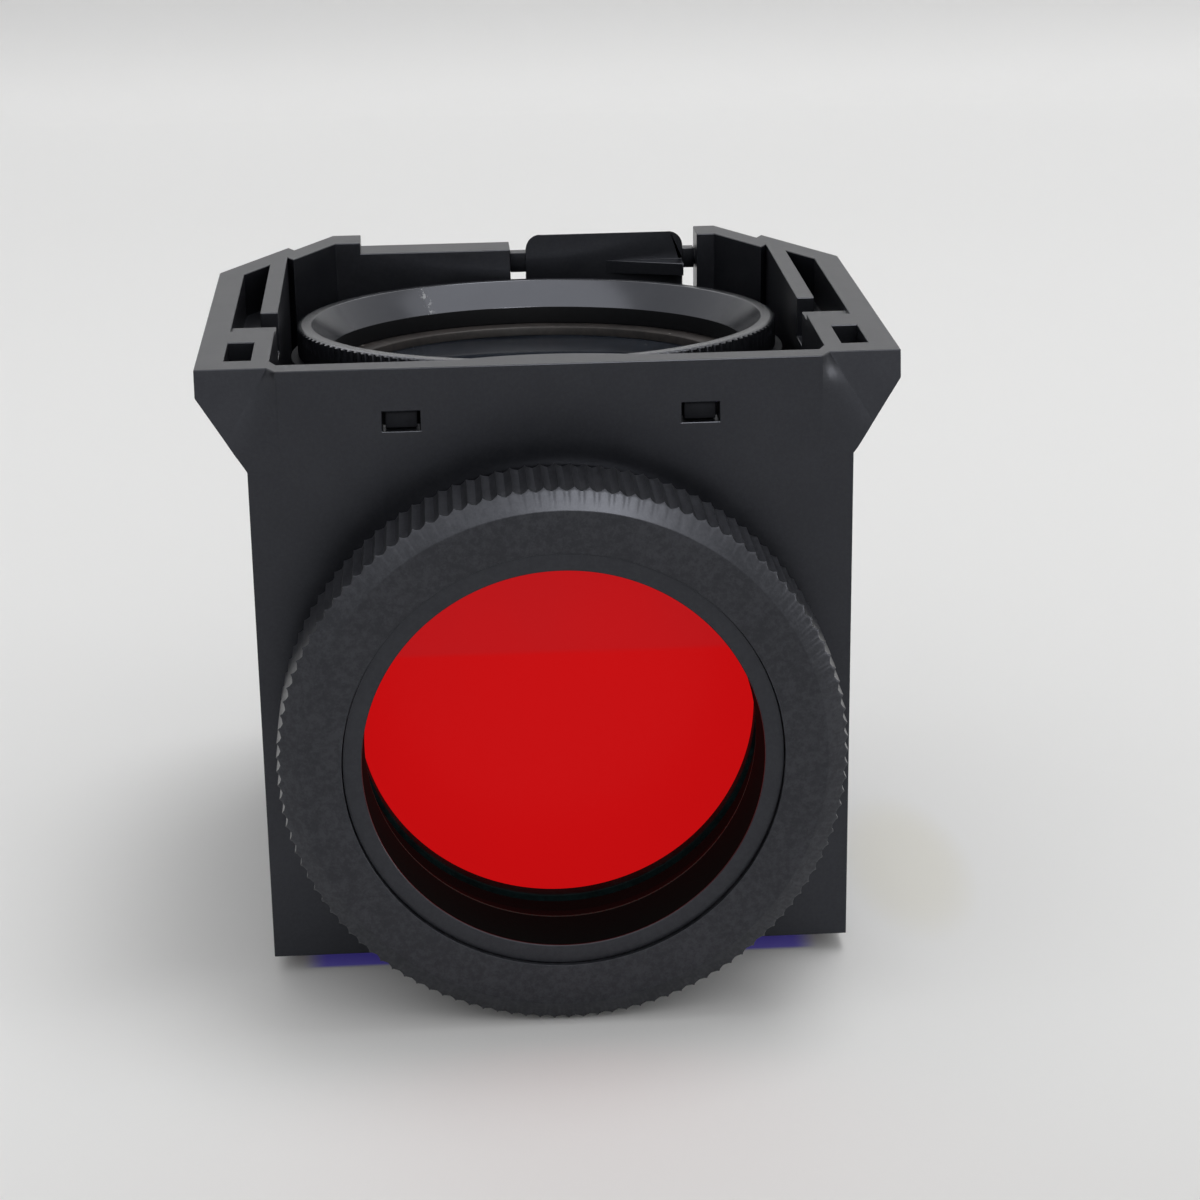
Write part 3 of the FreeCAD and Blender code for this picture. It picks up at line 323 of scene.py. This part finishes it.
def cellMaterial(name, dark, light, rough, dusty=0.0, shine=0.04):
    # turned metal with fine rings and dust
    material, nodes = newMaterial(name)
    where = nodes.place()
    grain = nodes.noise(where, 2600.0, 3.0, 0.6)
    cloud = nodes.noise(where, 500.0, 3.0)
    colour = nodes.mix((grain * 0.5 + cloud * 0.5).between(0.35, 0.65), dark, light)
    dust = nodes.specks(where, 1100.0, 0.16, 0.60)
    colour = nodes.mix(dust * cloud.between(0.42, 0.58) * dusty, colour, (0.62, 0.59, 0.54))
    shader = nodes.make("BsdfPrincipled", {}, {
        "Base Color": colour, "Roughness": rough + cloud * 0.15, "Specular IOR Level": shine,
        "Normal": nodes.bump(grain, 0.008 * mm, 0.4)})
    nodes.finish(shader)
    return material


def dichroicMaterial():
    material, nodes = newMaterial("dichroicCoating")
    where = nodes.place()
    haze = nodes.noise(where, 200.0, 2.0)
    facing = nodes.make("LayerWeight", {}, {"Blend": 0.4}, "Facing")
    colour = nodes.mix(facing, (0.20, 0.12, 0.62), (0.75, 0.62, 0.22))
    shader = nodes.make("BsdfPrincipled", {}, {
        "Base Color": colour, "Roughness": 0.05 + haze * 0.06, "Metallic": 0.85})
    nodes.finish(shader)
    return material


def metalMaterial(name, tone, rough):
    material, nodes = newMaterial(name)
    where = nodes.place()
    brushed = nodes.noise(nodes.make("Mapping", {}, {"Vector": where, "Scale": (1.0, 9.0, 9.0)}),
                          900.0, 3.0, 0.6)
    cloud = nodes.noise(where, 700.0, 2.0)
    colour = nodes.mix(cloud.between(0.3, 0.7), tuple(part * 0.78 for part in tone), tone)
    shader = nodes.make("BsdfPrincipled", {}, {
        "Base Color": colour, "Roughness": rough + brushed * 0.18, "Metallic": 1.0,
        "Normal": nodes.bump(brushed, 0.006 * mm, 0.4)})
    nodes.finish(shader)
    return material


def rubberMaterial():
    material, nodes = newMaterial("gasketRubber")
    where = nodes.place()
    grain = nodes.noise(where, 3500.0, 3.0)
    colour = nodes.mix(grain.between(0.35, 0.65), (0.012, 0.012, 0.012), (0.03, 0.03, 0.03))
    shader = nodes.make("BsdfPrincipled", {}, {
        "Base Color": colour, "Roughness": 0.72 + grain * 0.2,
        "Normal": nodes.bump(grain, 0.02 * mm, 0.5)})
    nodes.finish(shader)
    return material


finishes = {
    "moulded_plastic": mouldedMaterial("mouldedPlastic", plastic),
    "anodised": anodisedMaterial("knurledAnodised", knurledFinish),
    "cone": coneMaterial(coneFinish, coneMark, boreBlack),
    "sleeve": sleeveMaterial(sleeveLook),
    "cell": cellMaterial("cell", (0.0016, 0.006, 0.0065), (0.004, 0.015, 0.016), 0.45),
    "bronze_cell": cellMaterial("bronzeCell", (0.014, 0.012, 0.0115), (0.034, 0.028, 0.026), 0.42,
                                0.9, 0.35),
    "exciter_filter": redFilterMaterial(redGlass),
    "emitter_filter": emitterFilterMaterial(),
    "dichroic_coating": dichroicMaterial(),
    "frame": mouldedMaterial("framePlastic", innerPlastic),
    "spring_steel": metalMaterial("springSteel", (0.62, 0.61, 0.58), 0.24),
    "screw_steel": metalMaterial("screwSteel", (0.42, 0.41, 0.40), 0.28),
    "gasket": rubberMaterial(),
}
print("materials made")


# mesh helpers

exciterFrame = Matrix.Translation((0.0, -17.4, 0.0)) @ Matrix.Rotation(math.radians(90), 4, "X")
emitterFrame = Matrix.Translation((0.0, 0.0, 18.32)) @ Matrix.Rotation(math.radians(-3.46), 4, "X")
dichroicFrame = Matrix.Rotation(math.radians(-45), 4, "X")


def plain(face, limit):
    # a large face that is no facet of a round one
    area = face.calc_area()
    if area < 1.5 * mm * mm:
        return False
    for edge in face.edges:
        for other in edge.link_faces:
            if other is not face and 0.3 < other.calc_area() / area < 3.3:
                if math.radians(0.3) < edge.calc_face_angle(0.0) < limit:
                    return False
    return True


def finishPiece(name, bm, body, nodes, slotName, place=Matrix.Identity(4), sharp=32.0,
                finish=None, flat=False):
    # from millimetres in the piece's own frame to a named object in the part's frame
    bmesh.ops.transform(bm, matrix=Matrix.Scale(mm, 4) @ place, verts=bm.verts)
    bmesh.ops.recalc_face_normals(bm, faces=bm.faces)
    limit = math.radians(sharp)
    for edge in bm.edges:
        edge.smooth = not (len(edge.link_faces) == 2 and edge.calc_face_angle(0.0) > limit)
    for face in bm.faces:
        face.smooth = not (flat and plain(face, limit))
    mesh = bpy.data.meshes.new(name)
    bm.to_mesh(mesh)
    bm.free()
    piece = bpy.data.objects.new(name, mesh)
    bpy.context.scene.collection.objects.link(piece)
    mesh.materials.append(finishes[finish or slotName])
    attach(piece, body)
    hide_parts(*nodes)
    return piece


def rounded(points, radii, closed=True, parts=3):
    # each corner of an outline becomes a short curve
    result = []
    count = len(points)
    for index, (point, radius) in enumerate(zip(points, radii)):
        here = Vector(point)
        before = Vector(points[index - 1]) - here
        after = Vector(points[(index + 1) % count]) - here
        if radius <= 0.0 or (not closed and index in (0, count - 1)):
            result.append(here)
            continue
        reach = min(radius, before.length * 0.45, after.length * 0.45)
        start = here + before.normalized() * reach
        end = here + after.normalized() * reach
        for part in range(parts + 1):
            share = part / parts
            result.append(start.lerp(here, share).lerp(here.lerp(end, share), share))
    return result


def turnedMesh(points, radii, steps=192, closed=True):
    # a piece of revolution about Z from its half section, given as (radius, height)
    bm = bmesh.new()
    outline = rounded(points, radii, closed)
    verts = [bm.verts.new((point.x, 0.0, point.y)) for point in outline]
    edges = [bm.edges.new(pair) for pair in zip(verts, verts[1:])]
    if closed:
        edges.append(bm.edges.new((verts[-1], verts[0])))
    bmesh.ops.spin(bm, geom=verts + edges, cent=(0, 0, 0), axis=(0, 0, 1), dvec=(0, 0, 0),
                   angle=2 * math.pi, steps=steps, use_merge=True, use_normal_flip=False,
                   use_duplicate=False)
    bmesh.ops.remove_doubles(bm, verts=bm.verts, dist=1e-5)
    return bm


def carriedMesh(node, bevel=0.05, sharp=25.0, shortest=0.45):
    # a node's own solid, its loose triangles joined and its sharp edges broken
    bm = bmesh.new()
    bm.from_mesh(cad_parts[node].data)
    bmesh.ops.transform(bm, matrix=Matrix.Scale(1 / mm, 4), verts=bm.verts)
    bmesh.ops.remove_doubles(bm, verts=bm.verts, dist=0.004)
    bmesh.ops.dissolve_limit(bm, angle_limit=math.radians(1.0), verts=bm.verts, edges=bm.edges)
    limit = math.radians(sharp)
    edges = [edge for edge in bm.edges if len(edge.link_faces) == 2
             and edge.calc_face_angle(0.0) > limit and edge.calc_length() > shortest]
    bmesh.ops.bevel(bm, geom=edges, offset=bevel, offset_type="OFFSET", segments=2, profile=0.5,
                    affect="EDGES", material=-1, clamp_overlap=False, harden_normals=False)
    return bm


def knurled(bm, outer, root, teeth, low, high):
    # pulls the rim in between the teeth of a straight knurl
    for vert in bm.verts:
        reach = math.hypot(vert.co.x, vert.co.y)
        if reach < root + 1e-4 or not low - 1e-4 <= vert.co.z <= high + 1e-4:
            continue
        turn = math.atan2(vert.co.y, vert.co.x) * teeth / (2 * math.pi)
        away = abs(turn - round(turn)) * 2
        groove = outer - (outer - root) * away ** 0.55
        if reach > groove:
            vert.co.x *= groove / reach
            vert.co.y *= groove / reach


# housing, lever, holder and frame

finishPiece("housingShell", carriedMesh("housing"), "housing", ["housing"],
            "moulded_plastic", sharp=14.0, flat=True)
finishPiece("latchLever", carriedMesh("latch_lever", 0.04), "latch_lever",
            ["latch_lever"], "moulded_plastic", flat=True)
finishPiece("emitterHolder", carriedMesh("emitter_holder"), "housing",
            ["emitter_holder"], "frame", flat=True)
finishPiece("dichroicFrame", carriedMesh("dichroic_frame"), "housing",
            ["dichroic_frame"], "frame", flat=True)
print("moulded pieces made")

# exciter side

exciterRing = {
    "bore": 11.75, "front": 7.5, "faceEdge": 14.05, "outer": 15.2, "root": 14.98, "chamfer": 6.95,
    "knurlBack": 2.6, "skirt": 14.3, "back": 0.2, "thread": 13.35, "shoulder": 3.03,
    "teeth": 120, "stepsPerTooth": 6,
}


def makeExciterRing(size):
    chamferRise = (size["front"] - size["chamfer"]) / (size["outer"] - size["faceEdge"])
    points = [(size["bore"], size["front"]), (size["faceEdge"], size["front"])]
    radii = [0.03, 0.05]
    count = 5
    for part in range(count):
        reach = size["root"] + (size["outer"] - size["root"]) * part / (count - 1)
        points.append((reach, size["front"] - (reach - size["faceEdge"]) * chamferRise))
        radii.append(0.0)
    points += [(size["outer"], size["knurlBack"]), (size["skirt"], size["knurlBack"]),
               (size["skirt"], size["back"]), (size["thread"], size["back"]),
               (size["thread"], size["shoulder"]), (size["bore"], size["shoulder"])]
    radii += [0.1, 0.06, 0.12, 0.1, 0.0, 0.0]
    bm = turnedMesh(points, radii, size["teeth"] * size["stepsPerTooth"])
    knurled(bm, size["outer"], size["root"], size["teeth"], size["knurlBack"], size["front"])
    return finishPiece("exciterRing", bm, "exciter_ring", ["exciter_ring"], "anodised",
                       exciterFrame, 24.0)


makeExciterRing(exciterRing)

sleeve = {
    "lipInner": 10.7, "lipFront": 7.2, "lipOuter": 11.71, "flangeOuter": 13.2,
    "flangeFront": 3.0, "flangeBack": 2.3, "tubeOuter": 12.45, "back": 0.6, "backInner": 11.15,
    "taperEnd": 1.9, "waistInner": 10.6, "waist": 3.7,
}


def makeSleeve(size):
    points = [(size["lipInner"], size["lipFront"]), (size["lipOuter"], size["lipFront"]),
              (size["lipOuter"], size["flangeFront"]), (size["flangeOuter"], size["flangeFront"]),
              (size["flangeOuter"], size["flangeBack"]), (size["tubeOuter"], size["flangeBack"]),
              (size["tubeOuter"], size["back"]), (size["backInner"], size["back"]),
              (size["backInner"], size["taperEnd"]), (size["waistInner"], size["waist"])]
    radii = [0.08, 0.03, 0.0, 0.05, 0.05, 0.0, 0.05, 0.06, 0.1, 0.12]
    return finishPiece("exciterSleeve", turnedMesh(points, radii), "exciter_carrier",
                       ["exciter_sleeve"], "anodised", exciterFrame, finish="sleeve")


def plainRing(inner, outer, top, bottom, radius):
    return turnedMesh([(inner, top), (outer, top), (outer, bottom), (inner, bottom)],
                      [radius] * 4)


def glassDisc(radius, top, bottom, edge=0.05):
    return turnedMesh([(0.0, top), (radius, top), (radius, bottom), (0.0, bottom)],
                      [0.0, edge, edge, 0.0], closed=False)


def filterCell(size, innerEdge):
    # an L section: the lip over the glass, and the skirt round it
    points = [(size["bore"], size["top"]), (size["outer"], size["top"]),
              (size["outer"], size["bottom"]), (size["seat"], size["bottom"]),
              (size["seat"], size["shelf"]), (size["bore"], size["shelf"])]
    return turnedMesh(points, [0.15, 0.1, 0.05, 0.0, 0.0, innerEdge])


makeSleeve(sleeve)

# both filters are alike in plan: the glass in its cell, the retainer under it, and the gasket
stack = {"bore": 11.0, "outer": 12.5, "seat": 11.88, "glass": 11.85, "retainer": 11.2,
         "gasket": 11.3, "ringEdge": 0.04, "gasketEdge": 0.05}
exciterStack = dict(stack, top=0.1, shelf=-0.74, glassBack=-2.44, bottom=-2.9, gasketBack=-3.2)
emitterStack = dict(stack, top=-2.6, shelf=-3.15, glassBack=-4.2, bottom=-4.6, gasketBack=-4.9)
washer = {"inner": 11.4, "outer": 12.3, "top": 0.58, "bottom": 0.12, "edge": 0.04}


def makeStack(side, size, place, finishesOfSide, innerEdge):
    cellFinish, glassFinish = finishesOfSide
    carrier = side + "_carrier"
    finishPiece(side + "Cell", filterCell(size, innerEdge), carrier, [side + "_cell"],
                cellFinish, place)
    finishPiece(side + "Glass", glassDisc(size["glass"], size["shelf"], size["glassBack"]),
                carrier, [side + "_glass"], glassFinish, place)
    finishPiece(side + "Retainer",
                plainRing(size["retainer"], size["glass"], size["glassBack"], size["bottom"],
                          size["ringEdge"]),
                carrier, [side + "_retainer"], "cell", place)
    finishPiece(side + "Gasket",
                plainRing(size["gasket"], size["outer"], size["bottom"], size["gasketBack"],
                          size["gasketEdge"]),
                "housing", [side + "_gasket"], "gasket", place)


finishPiece("exciterWasher",
            plainRing(washer["inner"], washer["outer"], washer["top"], washer["bottom"],
                      washer["edge"]),
            "exciter_carrier", ["exciter_washer"], "spring_steel", exciterFrame)
makeStack("exciter", exciterStack, exciterFrame, ("cell", "exciter_filter"), 0.05)
print("exciter side made")

# emitter side

emitterRing = {
    "mouth": 12.2, "mouthDepth": -1.55, "lipInner": 13.22, "lip": 13.79, "outer": 14.065,
    "root": 13.92, "bevel": -0.12, "flange": -1.72, "thread": 13.25, "skirt": -4.15,
    "bore": 12.55, "shelf": -2.57, "teeth": 148, "stepsPerTooth": 6,
}


def makeEmitterRing(size):
    rootHeight = size["bevel"] * (size["root"] - size["lip"]) / (size["outer"] - size["lip"])
    points = [(size["mouth"], size["mouthDepth"]), (size["lipInner"], 0.0), (size["lip"], 0.0),
              (size["root"], rootHeight), (size["outer"], size["bevel"]),
              (size["outer"], size["flange"]), (size["thread"], size["flange"]),
              (size["thread"], size["skirt"]), (size["bore"], size["skirt"]),
              (size["bore"], size["shelf"]), (size["mouth"], size["shelf"])]
    radii = [0.03, 0.05, 0.05, 0.0, 0.0, 0.08, 0.0, 0.1, 0.1, 0.0, 0.04]
    bm = turnedMesh(points, radii, size["teeth"] * size["stepsPerTooth"])
    knurled(bm, size["outer"], size["root"], size["teeth"], size["flange"], 0.0)
    return finishPiece("emitterRing", bm, "emitter_ring", ["emitter_ring"], "anodised",
                       emitterFrame, 24.0, "cone")


makeEmitterRing(emitterRing)

makeStack("emitter", emitterStack, emitterFrame, ("bronze_cell", "emitter_filter"), 0.04)
print("emitter side made")

# dichroic

mirror = {"width": 25.2, "length": 35.6, "thickness": 1.05, "bevel": 0.12}


def makeMirror(size):
    bm = bmesh.new()
    bmesh.ops.create_cube(bm, size=1.0, matrix=Matrix.Translation(
        (0.0, 0.0, size["thickness"] / 2)) @ Matrix.Diagonal(
        (size["width"], size["length"], size["thickness"], 1.0)))
    bmesh.ops.bevel(bm, geom=bm.edges[:], offset=size["bevel"], offset_type="OFFSET", segments=2,
                    profile=0.5, affect="EDGES", material=-1)
    return finishPiece("dichroicMirror", bm, "housing", ["dichroic_mirror"], "dichroic_coating",
                       dichroicFrame)


makeMirror(mirror)
finishPiece("clipRight", carriedMesh("dichroic_clip_right"), "housing",
            ["dichroic_clip_right"], "spring_steel")
finishPiece("clipLeft", carriedMesh("dichroic_clip_left"), "housing",
            ["dichroic_clip_left"], "spring_steel")

screw = {"across": 13.65, "along": 8.0, "seat": 1.35, "head": 1.0, "top": 2.05, "shank": 0.7,
         "end": -2.7, "recess": 0.45, "recessDepth": 0.4}


def makeScrews(size):
    bm = bmesh.new()
    for x in (size["across"], -size["across"]):
        for y in (size["along"], -size["along"]):
            one = turnedMesh(
                [(0.0, size["top"] - size["recessDepth"]),
                 (size["recess"], size["top"] - size["recessDepth"]),
                 (size["recess"], size["top"]), (size["head"], size["top"]),
                 (size["head"], size["seat"]), (size["shank"], size["seat"]),
                 (size["shank"], size["end"]), (0.0, size["end"])],
                [0.0, 0.0, 0.06, 0.3, 0.03, 0.0, 0.1, 0.0], 24, closed=False)
            bmesh.ops.translate(one, vec=(x, y, 0.0), verts=one.verts)
            mesh = bpy.data.meshes.new("screwPart")
            one.to_mesh(mesh)
            one.free()
            bm.from_mesh(mesh)
            bpy.data.meshes.remove(mesh)
    return finishPiece("dichroicScrews", bm, "housing", ["dichroic_screws"], "screw_steel",
                       dichroicFrame)


makeScrews(screw)
print("dichroic made")

# stage

floor = {
    "rearEdge": (17.1, -14.2), "frontTouch": (-20.0, -15.2), "near": -1600.0, "crease": 247.0,
    "side": 1600.0, "wall": 160.0, "lean": 30.0, "bend": 14.0,
    "pale": ((0.845, 0.845, 0.841), (0.865, 0.865, 0.861)), "far": (0.775, 0.775, 0.775),
    "farRange": (-7.0, 12.0),
    # painted shade: the floor darkens towards the camera
    "nearShade": (0.775, 0.770, 0.762), "closeRange": (-25.0, -60.0),
    # painted light: a glowing violet pool on the floor under the cube
    "glow": (0.014, 0.011, 0.085), "violet": (0.20, 0.17, 0.42),
    "glowSide": 14.9, "glowFront": -17.25, "glowBack": -13.0, "glowFade": (1.6, 0.35),
    # painted light: a warm pool on the floor beside the cube
    "warm": (0.80, 0.77, 0.66), "warmPlace": (21.5, -7.0), "warmReach": (4.5, 11.0),
    "warmShare": 0.45,
}


def makeStage(size):
    (backY, backZ), (frontY, frontZ) = size["rearEdge"], size["frontTouch"]
    slope = (backZ - frontZ) / (backY - frontY)

    def floorHeight(y):
        return backZ + (y - backY) * slope
    points = [(size["near"], floorHeight(size["near"])),
              (size["crease"], floorHeight(size["crease"])),
              (size["crease"] + size["lean"], floorHeight(size["crease"]) + size["wall"])]
    line = rounded(points, [0.0, size["bend"], 0.0], closed=False, parts=8)
    bm = bmesh.new()
    verts = [bm.verts.new((-size["side"], point.x, point.y)) for point in line]
    edges = [bm.edges.new(pair) for pair in zip(verts, verts[1:])]
    swept = bmesh.ops.extrude_edge_only(bm, edges=edges)["geom"]
    bmesh.ops.translate(bm, vec=(2 * size["side"], 0, 0),
                        verts=[item for item in swept if isinstance(item, bmesh.types.BMVert)])
    bmesh.ops.transform(bm, matrix=Matrix.Scale(mm, 4), verts=bm.verts)
    bmesh.ops.recalc_face_normals(bm, faces=bm.faces)
    mesh = bpy.data.meshes.new("paleFloor")
    for face in bm.faces:
        face.smooth = True
    bm.to_mesh(mesh)
    bm.free()
    piece = bpy.data.objects.new("paleFloor", mesh)
    bpy.context.scene.collection.objects.link(piece)
    material, nodes = newMaterial("paleFloor")
    where = nodes.place()
    across, along, up = nodes.split(where)
    colour = nodes.mix(nodes.noise(where, 6.0, 2.0), *size["pale"])
    colour = nodes.mix((up / mm).between(*size["farRange"]), colour, size["far"])
    # painted shade: darker towards the camera
    colour = nodes.mix((along / mm).between(*size["closeRange"]), colour, size["nearShade"])
    # painted light: a warm pool beside the cube, and a violet pool under it, stand in for the
    # little light that comes through the cube
    (warmX, warmY), (warmWide, warmLong) = size["warmPlace"], size["warmReach"]
    aside = (across / mm - warmX) / warmWide
    ahead = (along / mm - warmY) / warmLong
    warm = (aside * aside + ahead * ahead).between(1.0, 0.1)
    colour = nodes.mix(warm * size["warmShare"], colour, size["warm"])
    # painted light: the violet pool under the cube, in colour and in glow
    under = (across / mm).size().between(size["glowSide"], size["glowSide"] - size["glowFade"][0])
    glowFull = size["glowFront"] + size["glowFade"][1]
    under = under * (along / mm).between(size["glowFront"], glowFull)
    under = under * (along / mm).below(size["glowBack"])
    colour = nodes.mix(under, colour, size["violet"])
    nodes.finish(nodes.make("BsdfPrincipled", {}, {
        "Base Color": colour, "Roughness": 0.85, "Specular IOR Level": 0.2,
        "Emission Color": nodes.mix(under, (0.0, 0.0, 0.0), size["glow"]),
        "Emission Strength": 1.0}))
    mesh.materials.append(material)
    return piece


makeStage(floor)

lamps = {
    "world": 0.59, "backdrop": 0.72,
    # azimuth from the camera's side towards the right, elevation, distance, width, height, glow
    "ceiling": (12.0, 57.0, 0.90, 2.20, 0.95, 1.15),
    "window": (11.0, 29.0, 1.00, 0.30, 0.20, 15.0),
    "overhead": (125.0, 77.0, 0.90, 0.36, 0.36, 5.6),
    "right": (72.0, 6.0, 0.90, 0.30, 0.20, 5.0),
    "back": (188.0, 36.0, 1.10, 1.00, 0.50, 0.9),
    "glossOnly": ("ceiling", "window"),
}


def makeLight(size):
    world = bpy.data.worlds.new("paleWorld")
    bpy.context.scene.world = world
    world.use_nodes = True
    nodes = Nodes(world.node_tree)
    path = nodes.make("LightPath")
    node = path.socket.node
    seen = Wire(nodes, node.outputs["Is Camera Ray"]) + Wire(nodes, node.outputs["Is Glossy Ray"])
    seen = seen + Wire(nodes, node.outputs["Is Transmission Ray"])
    colour = nodes.mix(seen, (size["world"],) * 3, (size["backdrop"],) * 3)
    background = nodes.make("Background", {}, {"Color": colour, "Strength": 1.0})
    nodes.make("OutputWorld", {}, {"Surface": background})
    for name in ("ceiling", "window", "overhead", "right", "back"):
        azimuth, elevation, distance, width, height, glow = size[name]
        side, rise = math.radians(azimuth), math.radians(elevation)
        place = Vector((math.sin(side) * math.cos(rise), -math.cos(side) * math.cos(rise),
                        math.sin(rise))) * distance
        data = bpy.data.lights.new(name + "Softbox", "AREA")
        data.shape = "RECTANGLE"
        data.size = width
        data.size_y = height
        data.energy = glow * math.pi * width * height
        light = bpy.data.objects.new(name + "Softbox", data)
        light.location = place
        light.rotation_euler = place.to_track_quat("Z", "Y").to_euler()
        # the ceiling is there to be mirrored, the world lights the floor in its place
        light.visible_diffuse = name not in size["glossOnly"]
        bpy.context.scene.collection.objects.link(light)


makeLight(lamps)

view = {"place": (-6.5, -163.4, 57.5), "pan": -3.51, "pitch": 19.21, "roll": -0.84,
        "lens": 85.05, "sensor": 36.0,
        "clip": (0.005, 20.0)}


def makeCamera(size):
    data = bpy.data.cameras.new("photoCamera")
    data.lens = size["lens"]
    data.sensor_width = size["sensor"]
    data.clip_start, data.clip_end = size["clip"]
    camera = bpy.data.objects.new("photoCamera", data)
    turn = Matrix.Rotation(math.radians(size["pan"]), 4, "Z")
    turn = turn @ Matrix.Rotation(-math.radians(size["pitch"]), 4, "X")
    turn = turn @ Matrix.Rotation(-math.radians(size["roll"]), 4, "Y")
    turn = turn @ Matrix.Rotation(math.radians(90.0), 4, "X")
    camera.matrix_world = Matrix.Translation(Vector(size["place"]) * mm) @ turn
    bpy.context.scene.collection.objects.link(camera)
    bpy.context.scene.camera = camera


makeCamera(view)
bpy.context.scene.view_settings.view_transform = "Standard"
print("stage, light and camera made")
